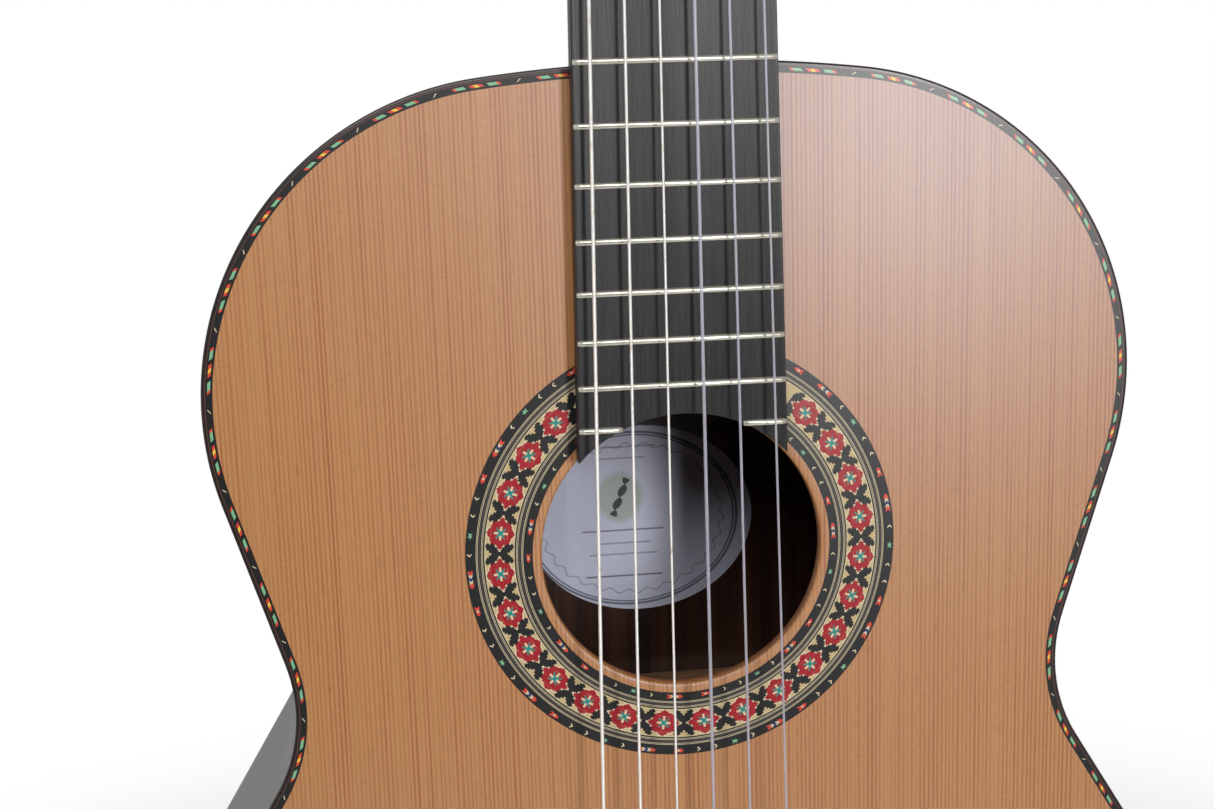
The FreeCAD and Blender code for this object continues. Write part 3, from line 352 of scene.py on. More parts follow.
class Look:
    """A material being made: its shader and short ways to add nodes over it."""

    def __init__(self, name, **sockets):
        self.material = bpy.data.materials.new(name)
        self.material.use_nodes = True
        self.tree = self.material.node_tree
        self.shader = self.tree.nodes["Principled BSDF"]
        for key, value in sockets.items():
            self.shader.inputs[key.replace("_", " ")].default_value = value
        coords = self.tree.nodes.new("ShaderNodeTexCoord")
        scale = self.add("ShaderNodeVectorMath", operation="SCALE")
        scale.inputs["Scale"].default_value = 1 / MM
        self.join(coords.outputs["Object"], scale.inputs[0])
        self.place = scale.outputs[0]
        split = self.add("ShaderNodeSeparateXYZ")
        self.join(self.place, split.inputs[0])
        self.x, self.y, self.z = split.outputs

    def add(self, kind, **settings):
        """A node with some of its settings changed."""
        node = self.tree.nodes.new(kind)
        for key, value in settings.items():
            setattr(node, key, value)
        return node

    def join(self, source, socket):
        """Link an output, or set a plain value."""
        if isinstance(source, bpy.types.NodeSocket):
            self.tree.links.new(source, socket)
        else:
            socket.default_value = source

    def math(self, operation, first, second=0.0, third=0.0, clamp=False):
        """A maths node's result."""
        node = self.add("ShaderNodeMath", operation=operation, use_clamp=clamp)
        for value, socket in zip((first, second, third), node.inputs):
            self.join(value, socket)
        return node.outputs[0]

    def times(self, first, second):
        """Two values multiplied."""
        return self.math("MULTIPLY", first, second)

    def sum(self, *values):
        """The values added up."""
        total = values[0]
        for value in values[1:]:
            total = self.math("ADD", total, value)
        return total

    def noise(self, frequency, detail=2.0, rough=0.5, shift=0.0, source=None):
        """Soft noise from 0 to 1, with its frequency in turns per millimetre on each axis."""
        mapping = self.add("ShaderNodeMapping")
        mapping.inputs["Scale"].default_value = frequency
        mapping.inputs["Location"].default_value = (shift, shift, shift)
        self.join(source or self.place, mapping.inputs[0])
        node = self.add("ShaderNodeTexNoise")
        node.inputs["Scale"].default_value = 1.0
        node.inputs["Detail"].default_value = detail
        node.inputs["Roughness"].default_value = rough
        self.join(mapping.outputs[0], node.inputs["Vector"])
        return node.outputs["Fac"]

    def ramp(self, value, *stops):
        """Colours or greys along a value."""
        node = self.add("ShaderNodeValToRGB")
        while len(node.color_ramp.elements) < len(stops):
            node.color_ramp.elements.new(0.5)
        for element, (position, colour) in zip(node.color_ramp.elements, stops):
            element.position = position
            element.color = (*colour, 1) if isinstance(colour, tuple) else (colour, colour, colour, 1)
        self.join(value, node.inputs[0])
        return node.outputs[0]

    def mix(self, share, first, second, blend="MIX"):
        """Two colours mixed."""
        node = self.add("ShaderNodeMix", data_type="RGBA", blend_type=blend)
        self.join(share, node.inputs[0])
        for value, socket in ((first, node.inputs[6]), (second, node.inputs[7])):
            self.join((*value, 1) if isinstance(value, tuple) else value, socket)
        return node.outputs[2]

    def paint(self, colour):
        """Set the base colour."""
        self.join(colour, self.shader.inputs["Base Color"])

    def polish(self, value, low, high):
        """Roughness between two limits."""
        spread = self.math("MULTIPLY_ADD", value, high - low, low)
        self.join(spread, self.shader.inputs["Roughness"])

    def bump(self, height, depth):
        """Relief whose full height is a depth in millimetres."""
        node = self.add("ShaderNodeBump")
        node.inputs["Strength"].default_value = 1.0
        node.inputs["Distance"].default_value = depth * MM
        self.join(height, node.inputs["Height"])
        self.join(node.outputs[0], self.shader.inputs["Normal"])


def cedar_top():
    """Western red cedar: even red-brown winter lines, fine fibre, cross silk and a satin lacquer."""
    # The blue specular tint stands in for a bluish light: the lacquer's reflections carry a painted blue
    # cast.
    look = Look("cedar_top", IOR=1.58, Specular_IOR_Level=0.95, Specular_Tint=(0.52, 0.74, 0.95, 1.0))
    half = look.math("ABSOLUTE", look.x)
    sway = look.noise((0.011, 0.0, 0.0028), detail=2, rough=0.4, shift=3.1)
    across = look.math("MULTIPLY_ADD", sway, 3.0, half)
    drift = look.noise((0.16, 0.0, 0.0005), detail=3, rough=0.7, shift=7.7)
    phase = look.sum(look.math("DIVIDE", across, 1.36), look.times(drift, 1.5))
    wave = look.math("SINE", look.times(phase, math.tau))
    lines = look.ramp(look.math("MULTIPLY_ADD", wave, 0.5, 0.5), (0.3, 0.0), (0.62, 0.75), (1.0, 1.0))
    streak = look.noise((0.45, 0.0, 0.005), detail=3, rough=0.7, shift=11.3)
    depth = look.ramp(streak, (0.33, 0.15), (0.7, 0.95))
    line_share = look.times(lines, depth)
    fibre = look.noise((2.8, 0.0, 0.16), detail=4, rough=0.7, shift=5.0)
    silk = look.noise((0.35, 0.0, 2.2), detail=3, rough=0.65, shift=2.0)
    blotch = look.noise((0.012, 0.0, 0.006), detail=2, shift=9.0)
    light = look.mix(blotch, (0.53, 0.25, 0.079), (0.475, 0.215, 0.067))
    wood = look.mix(line_share, light, (0.345, 0.098, 0.020))
    broad = look.noise((0.07, 0.0, 0.0011), detail=2, rough=0.7, shift=21.0)
    wood = look.mix(look.ramp(broad, (0.62, 0.0), (0.8, 0.4)), wood, (0.315, 0.113, 0.043))
    tone = look.sum(look.times(fibre, 0.9), look.times(silk, 0.75), 0.175)
    wood = look.mix(1.0, wood, look.ramp(tone, (0.0, 0.0), (1.0, 1.0)), blend="MULTIPLY")
    look.paint(wood)
    look.polish(fibre, 0.34, 0.42)
    relief = look.sum(look.times(lines, -0.5), look.times(fibre, 0.5),
                      look.times(silk, 0.35))
    look.bump(relief, 0.012)
    return look.material


def straight_wood(name, dark, light, streaks, pores, gloss, coat, relief=0.02):
    """Dense wood with streaks and pores that run along an axis, under a lacquer."""
    look = Look(name, Coat_Weight=coat[0], Coat_Roughness=coat[1])
    bands = look.noise(streaks, detail=4, rough=0.62)
    fine = look.noise(pores, detail=3, rough=0.6, shift=4.0)
    wood = look.mix(look.ramp(bands, (0.32, 0.0), (0.68, 1.0)), dark, light)
    shade = look.ramp(fine, (0.3, 0.6), (0.6, 1.0))
    look.paint(look.mix(1.0, wood, shade, blend="MULTIPLY"))
    look.polish(fine, *gloss)
    look.bump(fine, relief)
    return look.material


def veneer_colour(name, colour):
    """Dyed veneer of the marquetry, with faint fibres."""
    look = Look(name, Roughness=0.35, Coat_Weight=0.15, Coat_Roughness=0.3)
    fibre = look.noise((1.7, 0.4, 1.7), detail=3, rough=0.7, shift=colour[0] * 10)
    dark, light = (tuple(channel * share for channel in colour) for share in (0.72, 1.22))
    look.paint(look.mix(fibre, dark, light))
    look.bump(fibre, 0.006)
    return look.material


def metal(name, colour, gloss, brush, metallic=1.0):
    """Bare metal with fine brush or polishing lines."""
    look = Look(name, Metallic=metallic)
    lines = look.noise(brush, detail=3, rough=0.6)
    look.paint(look.mix(lines, tuple(channel * 0.86 for channel in colour), colour))
    look.polish(lines, *gloss)
    look.bump(lines, 0.004)
    return look.material


def wound_string():
    """Silvered wire wound tightly around a core."""
    wire = 0.24
    look = Look("wound_string", Metallic=0.45, Roughness=0.38)
    turn = look.math("SINE", look.times(look.z, math.tau / wire))
    wear = look.noise((0.5, 0.5, 0.16), detail=3, rough=0.7)
    look.paint(look.ramp(wear, (0.25, (0.58, 0.50, 0.42)), (0.42, (0.92, 0.90, 0.86)),
                         (1.0, (0.97, 0.96, 0.94))))
    look.bump(turn, 0.02)
    return look.material


def nylon_string():
    """Clear nylon with a faint lilac cast."""
    look = Look("nylon_string", IOR=1.53, Transmission_Weight=0.55)
    haze = look.noise((1.0, 1.0, 0.04), detail=2)
    look.paint(look.mix(haze, (0.62, 0.61, 0.72), (0.80, 0.79, 0.86)))
    look.polish(haze, 0.18, 0.3)
    return look.material


def bone():
    """Polished bone with faint fibres."""
    look = Look("bone", Roughness=0.3, Subsurface_Weight=0.15, Coat_Weight=0.3, Coat_Roughness=0.15)
    look.shader.inputs["Subsurface Radius"].default_value = (0.002, 0.0014, 0.0009)
    fibre = look.noise((0.5, 1.5, 1.5), detail=4, rough=0.65)
    look.paint(look.ramp(fibre, (0.3, (0.60, 0.53, 0.40)), (0.7, (0.72, 0.67, 0.55))))
    look.bump(fibre, 0.01)
    return look.material


def pearl_button():
    """Pearloid: pale flakes with drifting edges."""
    look = Look("pearl_button", Roughness=0.2, Coat_Weight=0.8, Coat_Roughness=0.06, Sheen_Weight=0.2)
    drift = look.noise((0.35, 0.35, 0.35), detail=3, rough=0.6)
    flakes = look.noise((0.9, 0.5, 0.7), detail=5, rough=0.75, shift=3.0)
    tone = look.sum(look.times(drift, 0.6), look.times(flakes, 0.4))
    look.paint(look.ramp(tone, (0.32, (0.50, 0.47, 0.42)), (0.5, (0.80, 0.77, 0.70)),
                         (0.68, (0.90, 0.89, 0.85))))
    look.bump(flakes, 0.02)
    return look.material


def roller_plastic():
    """Ivory plastic sleeve with faint turning lines."""
    look = Look("roller_plastic", Roughness=0.35, Subsurface_Weight=0.1)
    look.shader.inputs["Subsurface Radius"].default_value = (0.002, 0.0015, 0.001)
    lines = look.noise((2.0, 0.1, 0.1), detail=3)
    look.paint(look.mix(lines, (0.66, 0.62, 0.52), (0.78, 0.75, 0.66)))
    look.bump(lines, 0.01)
    return look.material


def label_paper():
    """Pale oval label with a double border, a green vignette with a sprig, and ruled lines."""
    centre = Vector((-2.9, BODY_TOP - 163.5))
    half = Vector((42.0, 35.2))
    look = Look("label_paper", Roughness=0.6)
    u = look.math("DIVIDE", look.math("SUBTRACT", look.x, centre.x), half.x)
    w = look.math("DIVIDE", look.math("SUBTRACT", look.z, centre.y), half.y)

    def distance(first, second):
        """Length of a plan vector of two sockets."""
        return look.math("SQRT", look.sum(look.times(first, first), look.times(second, second)))

    def line(value, middle, width):
        """1 within a narrow range of a value, 0 outside it."""
        away = look.math("ABSOLUTE", look.math("SUBTRACT", value, middle))
        return look.math("LESS_THAN", away, width)

    fibre = look.noise((0.8, 0.8, 0.8), detail=4, rough=0.7)
    page = look.mix(fibre, (0.66, 0.67, 0.83), (0.76, 0.77, 0.94))
    reach = distance(u, w)
    border = look.math("ADD", line(reach, 0.905, 0.008), line(reach, 0.935, 0.012), clamp=True)
    page = look.mix(border, page, (0.20, 0.22, 0.29))
    angle = look.math("ARCTAN2", w, u)
    ripple = look.math("MULTIPLY_ADD", look.math("SINE", look.times(angle, 30.0)), 0.022, reach)
    page = look.mix(look.times(line(ripple, 0.80, 0.008), 0.6), page, (0.25, 0.26, 0.34))

    vignette_u = look.times(look.math("SUBTRACT", u, -0.10), 4.4)
    vignette_w = look.times(look.math("SUBTRACT", w, 0.24), 3.3)
    oval = distance(vignette_u, vignette_w)
    glow = look.ramp(oval, (0.75, 0.75), (1.0, 0.0))
    page = look.mix(glow, page, (0.44, 0.52, 0.42))
    lean = look.math("MULTIPLY_ADD", vignette_w, -0.45, vignette_u)
    leaves = look.math("ABSOLUTE", look.math("SINE", look.times(vignette_w, 7.0)))
    width = look.times(look.math("POWER", leaves, 0.7), 0.17)
    sprig = look.math("LESS_THAN", look.math("ABSOLUTE", lean), width)
    sprig = look.times(sprig, look.math("LESS_THAN", oval, 0.72))
    page = look.mix(sprig, page, (0.06, 0.07, 0.08))

    # Ruled lines: height, half length and strength.
    rules = ((0.78, 0.30, 0.5), (0.66, 0.20, 0.5), (-0.12, 0.36, 0.7),
             (-0.26, 0.24, 0.5), (-0.38, 0.30, 0.5), (-0.62, 0.34, 0.8))
    for level, half_length, weight in rules:
        rule = look.times(line(w, level, 0.009), line(u, -0.08, half_length))
        page = look.mix(look.times(rule, weight), page, (0.08, 0.08, 0.12))
    look.paint(page)
    look.bump(fibre, 0.02)
    return look.material


CEDAR_TOP = cedar_top()
ROSEWOOD_BACK = straight_wood(
    "rosewood_back", (0.020, 0.009, 0.007), (0.085, 0.034, 0.020),
    (0.16, 0.02, 0.004), (1.5, 0.2, 0.03), (0.3, 0.42), (1.0, 0.07))
ROSEWOOD_SIDE = straight_wood(
    "rosewood_side", (0.018, 0.009, 0.008), (0.060, 0.026, 0.018),
    (0.008, 0.2, 0.008), (0.05, 1.5, 0.05), (0.4, 0.52), (0.45, 0.2))
NECK_WOOD = straight_wood(
    "neck_cedar", (0.24, 0.095, 0.042), (0.38, 0.165, 0.075),
    (0.10, 0.10, 0.004), (1.1, 1.1, 0.03), (0.35, 0.5), (0.6, 0.22))
BRIDGE_WOOD = straight_wood(
    "rosewood_bridge", (0.030, 0.013, 0.009), (0.120, 0.050, 0.028),
    (0.006, 0.2, 0.25), (0.05, 1.4, 1.8), (0.32, 0.45), (0.5, 0.2))
HEAD_WOOD = straight_wood(
    "rosewood_head", (0.024, 0.010, 0.008), (0.095, 0.038, 0.022),
    (0.2, 0.05, 0.005), (1.6, 0.3, 0.03), (0.3, 0.42), (0.9, 0.1))
EBONY = straight_wood(
    "ebony", (0.013, 0.0126, 0.013), (0.030, 0.029, 0.030),
    (0.35, 0.1, 0.006), (1.8, 0.5, 0.09), (0.34, 0.5), (0.0, 0.3), relief=0.05)
BINDING_WOOD = straight_wood(
    "binding_rosewood", (0.010, 0.006, 0.006), (0.030, 0.014, 0.012),
    (0.02, 0.4, 0.02), (0.3, 1.2, 0.3), (0.35, 0.45), (0.4, 0.2))
PATCH_WOOD = straight_wood(
    "cedar_patch", (0.30, 0.10, 0.03), (0.42, 0.155, 0.05),
    (0.5, 0.5, 0.01), (1.5, 1.5, 0.05), (0.5, 0.65), (0.0, 0.3))
SPRUCE = straight_wood(
    "spruce_braces", (0.50, 0.34, 0.18), (0.66, 0.48, 0.28),
    (0.4, 0.4, 0.01), (1.5, 1.5, 0.05), (0.5, 0.65), (0.0, 0.3))
LINING_WOOD = straight_wood(
    "linings_cedar", (0.28, 0.14, 0.07), (0.40, 0.22, 0.12),
    (0.05, 0.3, 0.05), (0.4, 1.2, 0.4), (0.5, 0.65), (0.0, 0.3))
NICKEL = metal("nickel_silver", (0.84, 0.81, 0.70), (0.3, 0.42), (0.6, 1.5, 2.0), metallic=0.85)
BRASS = metal("brass_plate", (0.72, 0.50, 0.20), (0.22, 0.38), (0.1, 1.6, 0.12))
STEEL = metal("steel_worm", (0.62, 0.61, 0.60), (0.2, 0.36), (0.5, 1.5, 0.5))
SCREW = metal("screw_steel", (0.66, 0.60, 0.48), (0.2, 0.4), (1.5, 1.5, 1.5))
WOUND = wound_string()
NYLON = nylon_string()
BONE = bone()
PEARL = pearl_button()
ROLLER = roller_plastic()
LABEL = label_paper()

BLACK = veneer_colour("veneer_black", (0.012, 0.012, 0.013))
SMOKE = veneer_colour("veneer_smoke", (0.055, 0.047, 0.045))
BROWN = veneer_colour("veneer_brown", (0.10, 0.042, 0.032))
CREAM = veneer_colour("veneer_cream", (0.66, 0.56, 0.36))
TAN = veneer_colour("veneer_tan", (0.55, 0.42, 0.21))
CRIMSON = veneer_colour("veneer_crimson", (0.36, 0.008, 0.018))
TEAL = veneer_colour("veneer_teal", (0.02, 0.24, 0.21))
ORANGE = veneer_colour("veneer_orange", (0.66, 0.06, 0.03))
GREEN = veneer_colour("veneer_green", (0.20, 0.46, 0.26))
YELLOW = veneer_colour("veneer_yellow", (0.80, 0.52, 0.06))
BLUE = veneer_colour("veneer_blue", (0.02, 0.035, 0.16))

MARQUETRY = [BLACK, SMOKE, BROWN, CREAM, TAN, CRIMSON, TEAL, ORANGE, GREEN, YELLOW, BLUE]
INK = {material.name.split("_")[1]: index for index, material in enumerate(MARQUETRY)}

NODE_LOOKS = {
    "soundboard": CEDAR_TOP, "soundhole_patch": PATCH_WOOD, "back_plate": ROSEWOOD_BACK,
    "back_centre_strip": BINDING_WOOD, "back_binding": BINDING_WOOD, "side_bass": ROSEWOOD_SIDE,
    "side_treble": ROSEWOOD_SIDE, "end_graft": BINDING_WOOD, "linings": LINING_WOOD,
    "tail_block": LINING_WOOD, "top_braces": SPRUCE, "back_braces": LINING_WOOD, "label": LABEL,
    "neck": NECK_WOOD, "heel_cap": HEAD_WOOD, "headstock": NECK_WOOD, "head_veneer": HEAD_WOOD,
    "nut": BONE, "saddle": BONE, "bridge": BRIDGE_WOOD, "tie_block_inlay": BONE,
    "machine_plate_treble": BRASS, "machine_plate_bass": BRASS, "machine_screws": SCREW,
}
for number in range(1, 7):
    NODE_LOOKS[f"roller_{number}"] = ROLLER
    NODE_LOOKS[f"gear_{number}"] = BRASS
    NODE_LOOKS[f"worm_{number}"] = STEEL
    NODE_LOOKS[f"button_{number}"] = PEARL


def dress_nodes():
    """Give each carried-over node of the frame its material."""
    for name, material in NODE_LOOKS.items():
        slots = NODES[name].material_slots
        if not slots:
            NODES[name].data.materials.append(material)
        for slot in slots:
            slot.material = material


# ---------------------------------------------------------------- top of the sound box

def make_top():
    """Cedar board with a rounded soundhole edge and the channel of the rosette."""
    lip, foot = 0.9, 0.5
    section = [(CHANNEL_OUTER, 0.0), (CHANNEL_OUTER, CHANNEL_DEPTH),
               (CHANNEL_INNER, CHANNEL_DEPTH), (CHANNEL_INNER, 0.0)]
    section += [(HOLE_RADIUS + inset, y) for inset, y in rounded_edge(lip, 0.0, 5)]
    section += [(HOLE_RADIUS, TOP_THICKNESS - foot), (HOLE_RADIUS + foot, TOP_THICKNESS)]
    mesh = bmesh.new()
    rows = [hole_circle(mesh, radius, y) for radius, y in section]
    bridge_all(mesh, rows)
    front, back = RIM.row(mesh, EDGE, 0.0), RIM.row(mesh, EDGE, TOP_THICKNESS)
    bridge_loops(mesh, front, back)
    cap(mesh, [front, rows[0]])
    cap(mesh, [back, rows[-1]])
    piece("top_board", mesh, [CEDAR_TOP], "root", "cedar_top", "soundboard")


def make_bindings():
    """Dark binding with a rounded edge, its brown inner line, and the lines on the side behind it."""
    edge, line = 0.7, BINDING - 0.28
    mesh = bmesh.new()
    RIM.sweep(mesh, rounded_edge(edge, 0.0, 4) + [(0.0, BINDING_DEPTH), (line, BINDING_DEPTH), (line, 0.0)])
    RIM.sweep(mesh, [(line, 0.0), (BINDING, 0.0), (BINDING, BINDING_DEPTH), (line, BINDING_DEPTH)], 1)
    piece("top_binding_strip", mesh, [BINDING_WOOD, BROWN], "root", "binding_rosewood", "top_binding")

    proud, deep, width = -0.02, 0.3, 0.45
    mesh = bmesh.new()
    for material in (0, 1):
        start = BINDING_DEPTH + material * width
        end = start + width
        RIM.sweep(mesh, [(proud, start), (proud, end), (deep, end), (deep, start)], material)
    piece("side_purfling_lines", mesh, [CREAM, BLACK], "root", "purfling_mosaic")


# One repeat of the edge marquetry: start, end and colour along the edge, in millimetres.
PURFLING_REPEAT = 24.9
PURFLING_START = 10.4
PURFLING_CELLS = [
    (0.0, 0.9, "orange"), (0.9, 3.6, "green"),
    (5.1, 6.3, "orange"), (6.3, 7.6, "yellow"), (7.6, 8.9, "orange"),
    (10.4, 13.1, "green"), (13.1, 14.0, "orange"),
    (19.2, 19.6, "cream"),
]


def make_purfling():
    """Black line around the top with slanted coloured blocks let into it."""
    mesh = bmesh.new()
    RIM.sweep(mesh, [(BINDING, RECESS), (EDGE, RECESS), (EDGE, TOP_THICKNESS), (BINDING, TOP_THICKNESS)],
              INK["black"])
    outer, inner, deep, longest = BINDING + 0.55, EDGE - 0.68, 0.4, 1.4
    repeats = round(RIM.total / PURFLING_REPEAT)
    stretch = RIM.total / (repeats * PURFLING_REPEAT)
    for repeat in range(repeats):
        for start, end, colour in PURFLING_CELLS:
            slant = 0.5 if colour == "cream" else -0.45
            steps = max(1, round((end - start) / longest))
            length = (end - start) / steps
            for step in range(steps):
                along = repeat * PURFLING_REPEAT + start + length * step
                near = PURFLING_START + along * stretch
                far = near + length * stretch
                corners = [RIM.at(near + slant, outer), RIM.at(far + slant, outer),
                           RIM.at(far - slant, inner), RIM.at(near - slant, inner)]
                prism(mesh, [(p.x, p.y) for p in corners], 0.0, deep, INK[colour])
    piece("top_purfling_inlay", mesh, MARQUETRY, "root", "purfling_mosaic", "top_purfling")


# ---------------------------------------------------------------- rosette

MOSAIC_INNER, MOSAIC_OUTER = 52.35, 61.05
MOSAIC_MIDDLE = (MOSAIC_INNER + MOSAIC_OUTER) / 2
# Flowers: angle from one to the next and to the first, their number, and their growth across and up.
FLOWER_PITCH = 13.07
FLOWER_START = 43.6
FLOWERS = 27
FLOWER_GROWTH = (1.21, 1.08)
PITCH_LENGTH = math.radians(FLOWER_PITCH) * MOSAIC_MIDDLE
TILE = 0.36
# Fine lines from the mosaic to the black band: width and colour.
ROSETTE_LINES = [(0.24, "cream"), (0.50, "black"), (0.16, "cream"), (0.22, "black"), (0.16, "cream"),
                 (0.28, "black"), (0.50, "smoke"), (0.28, "black"), (0.16, "cream"), (0.22, "black"),
                 (0.16, "cream")]


def ring_point(angle, radius):
    """Plan point at an angle clockwise from the top of the soundhole."""
    turn = math.radians(angle)
    return radius * math.sin(turn), HOLE_Z + radius * math.cos(turn)


def flower_reach(across, up, grow=0.0):
    """True inside the four-lobed flower with its pointed side tips."""
    across, up = abs(across), abs(up)
    lobes = ((0.0, 2.35, 1.55), (2.1, 0.0, 1.35), (1.55, 1.5, 1.45), (0.0, 0.0, 2.3))
    for x, y, radius in lobes:
        if math.hypot(across - x, up - y) < radius + grow:
            return True
    return up < 0.75 * (4.45 + grow - across) and across > 2.8 and up < 1.0 + grow


def leaf_reach(across, up):
    """True inside one of the four serrated leaves of the cross between two flowers."""
    across, up = abs(across), abs(up)
    along = across * 0.56 + up * 0.83
    aside = across * 0.83 - up * 0.56
    if along < 0.55:
        return True
    width = 1.35 * math.sin(math.pi * min(1.0, max(0.0, (along - 0.25) / 5.0))) ** 0.75
    teeth = 0.22 * math.cos(along * math.tau / 0.95)
    return abs(aside) < width + teeth and along < 5.2


def mosaic_colour(across, up):
    """Colour of the mosaic at a place measured from the nearest flower's centre."""
    if leaf_reach(PITCH_LENGTH / 2 - abs(across), up):
        return "black"
    across, up = across / FLOWER_GROWTH[0], up / FLOWER_GROWTH[1]
    if flower_reach(across, up):
        cross, tip = abs(across), abs(up)
        if math.hypot(across, up) < 0.6 or abs(cross - tip) < 0.42 and math.hypot(across, up) < 1.8:
            return "teal"
        if tip < 0.26 and cross < 1.8 or cross < 0.26 and tip < 1.9:
            return "cream"
        return "crimson"
    if flower_reach(across, up, 0.42):
        return "cream"
    return "tan"


def make_mosaic():
    """Ring of flowers and leaf crosses, made of short strips of square-cut veneer."""
    mesh = bmesh.new()
    ring(mesh, MOSAIC_INNER, MOSAIC_OUTER, RECESS, CHANNEL_DEPTH, INK["tan"])
    rows = round((MOSAIC_OUTER - MOSAIC_INNER) / TILE)
    height = (MOSAIC_OUTER - MOSAIC_INNER) / rows
    columns = round(PITCH_LENGTH / TILE)
    for flower in range(FLOWERS):
        middle = FLOWER_START + flower * FLOWER_PITCH
        for row in range(rows):
            inner = MOSAIC_INNER + row * height
            up = inner + height / 2 - MOSAIC_MIDDLE
            colours = [mosaic_colour(((column + 0.5) / columns - 0.5) * PITCH_LENGTH, up)
                       for column in range(columns)]
            start = 0
            for column in range(1, columns + 1):
                if column < columns and colours[column] == colours[start]:
                    continue
                if colours[start] != "tan":
                    low = middle + FLOWER_PITCH * (start / columns - 0.5)
                    high = middle + FLOWER_PITCH * (column / columns - 0.5)
                    corners = [ring_point(low, inner), ring_point(high, inner),
                               ring_point(high, inner + height), ring_point(low, inner + height)]
                    prism(mesh, corners, 0.0, 0.3, INK[colours[start]])
                start = column
    piece("rosette_flowers", mesh, MARQUETRY, "root", "rosette_mosaic", "rosette_mosaic")


# Marks on the black bands, drawn as (along, across) corners in millimetres.
CHEVRON = [(0.55, 0.0), (-0.25, 0.8), (-0.6, 0.62), (0.0, 0.0), (-0.6, -0.62), (-0.25, -0.8)]
HEAD_MARK = [(1.15, 0.0), (0.1, 0.75), (-0.95, 0.75), (-0.15, 0.0), (-0.95, -0.75), (0.1, -0.75)]
LEAF_MARK = [(1.2, 0.0), (0.35, 0.3), (0.5, 0.8), (-0.2, 0.35), (-1.0, 0.75), (-0.7, 0.0), (-1.0, -0.75),
             (-0.2, -0.35), (0.5, -0.8), (0.35, -0.3)]
# One repeat of a band: place along, shape, colour, scale and shift along, in millimetres.
BAND_REPEAT = 40.8
BAND_MARKS = [
    (0.0, HEAD_MARK, "orange", 1.0, -0.7), (0.0, HEAD_MARK, "cream", 0.55, 0.15),
    (0.0, HEAD_MARK, "orange", 0.9, 0.9), (6.44, CHEVRON, "cream", 1.0, 0.0),
    (11.73, CHEVRON, "cream", 1.0, 0.0), (17.8, LEAF_MARK, "green", 1.0, 0.0),
    (17.8, LEAF_MARK, "cream", 0.4, 0.0), (23.7, CHEVRON, "cream", 1.0, 0.0),
    (31.2, HEAD_MARK, "orange", 1.0, -2.4), (31.2, HEAD_MARK, "cream", 0.8, -1.3),
    (31.2, HEAD_MARK, "blue", 0.9, -0.4), (31.2, HEAD_MARK, "cream", 0.8, 0.7),
    (31.2, HEAD_MARK, "orange", 1.0, 1.9),
]
# Layers of marks that overlap step forward by this much.
LAYER_STEP = 0.004


def add_band_marks(mesh, radius, start, size, stretch):
    """Marks running anticlockwise along one black band, left out under the fretboard."""
    for repeat in range(-4, 8):
        for layer, (along, shape, colour, scale, shift) in enumerate(BAND_MARKS):
            travel = (repeat * BAND_REPEAT + along) * stretch
            angle = start - math.degrees(travel / radius)
            if not -350 < angle < -10:
                continue
            corners = []
            for x, y in shape:
                turn = angle - math.degrees((x * scale + shift) * size / radius)
                corners.append(ring_point(turn, radius + y * scale * size))
            prism(mesh, corners, -LAYER_STEP * (layer % 3), 0.3, INK[colour])


def make_rosette_bands():
    """Black bands with marks, and the fine lines between them and the mosaic."""
    mesh = bmesh.new()
    ring(mesh, CHANNEL_INNER, MOSAIC_INNER, RECESS, CHANNEL_DEPTH, INK["black"])
    ring(mesh, MOSAIC_OUTER, CHANNEL_OUTER, RECESS, CHANNEL_DEPTH, INK["black"])
    for edge, way in ((MOSAIC_INNER, -1), (MOSAIC_OUTER, 1)):
        reach = 0.0
        for width, colour in ROSETTE_LINES:
            low, high = sorted((edge + way * reach, edge + way * (reach + width)))
            if colour != "black":
                ring(mesh, low, high, 0.0, 0.4, INK[colour])
            reach += width
    add_band_marks(mesh, 47.85, -138.4, 0.82, 1.003)
    add_band_marks(mesh, 65.9, -140.5, 0.95, 1.043)
    piece("rosette_bands", mesh, MARQUETRY, "root", "rosette_borders", "rosette_borders")


# ---------------------------------------------------------------- fretboard and strings

def board_half(z):
    """Half width of the fretboard at a height."""
    return NUT_HALF + (JOINT_HALF - NUT_HALF) * z / BODY_TOP


def fret_height(number):
    """Height of a fret along the neck."""
    return -STRING_LENGTH * (1 - 2 ** (-number / 12))


def make_fretboard():
    """Ebony board with softened edges and a hollow end over the soundhole."""
    low = HOLE_Z
    for _ in range(12):
        low = HOLE_Z + math.sqrt(BOARD_ARC ** 2 - board_half(low) ** 2)
    start = math.degrees(math.asin(board_half(low) / BOARD_ARC))
    steps, edge = 40, 0.45
    loop = [Vector((-board_half(0), 0.0))]
    for i in range(steps + 1):
        loop.append(Vector(ring_point(-start + 2 * start * i / steps, BOARD_ARC)))
    loop.append(Vector((board_half(0), 0.0)))
    mesh = bmesh.new()
    slab(mesh, loop, rounded_edge(edge, BOARD_FACE, 3) + [(0.0, 0.0)])
    piece("ebony_board", mesh, [EBONY], "root", "ebony", "fretboard")


def add_fret(mesh, z, left, right):
    """One fret with a round crown and filed ends."""
    crown, tall, sunk, segments = 0.92, 1.1, 0.05, 10
    # Towards the middle of the fret: distance from its end and share of its full height.
    ends = ((0.0, 0.15), (0.6, 0.5), (1.2, 0.85), (1.5, 1.0))
    stations = [(left + reach, share) for reach, share in ends]
    stations += [(right - reach, share) for reach, share in reversed(ends)]
    rows = []
    for x, share in stations:
        half = crown * (0.72 + 0.28 * share)
        row = []
        for i in range(segments + 1):
            turn = math.pi * i / segments
            rise = tall * share * math.sin(turn) ** 0.8
            row.append((x, BOARD_FACE + sunk - rise, z + half * math.cos(turn)))
        rows.append(add_loop(mesh, row))
    close_rod(mesh, rows)


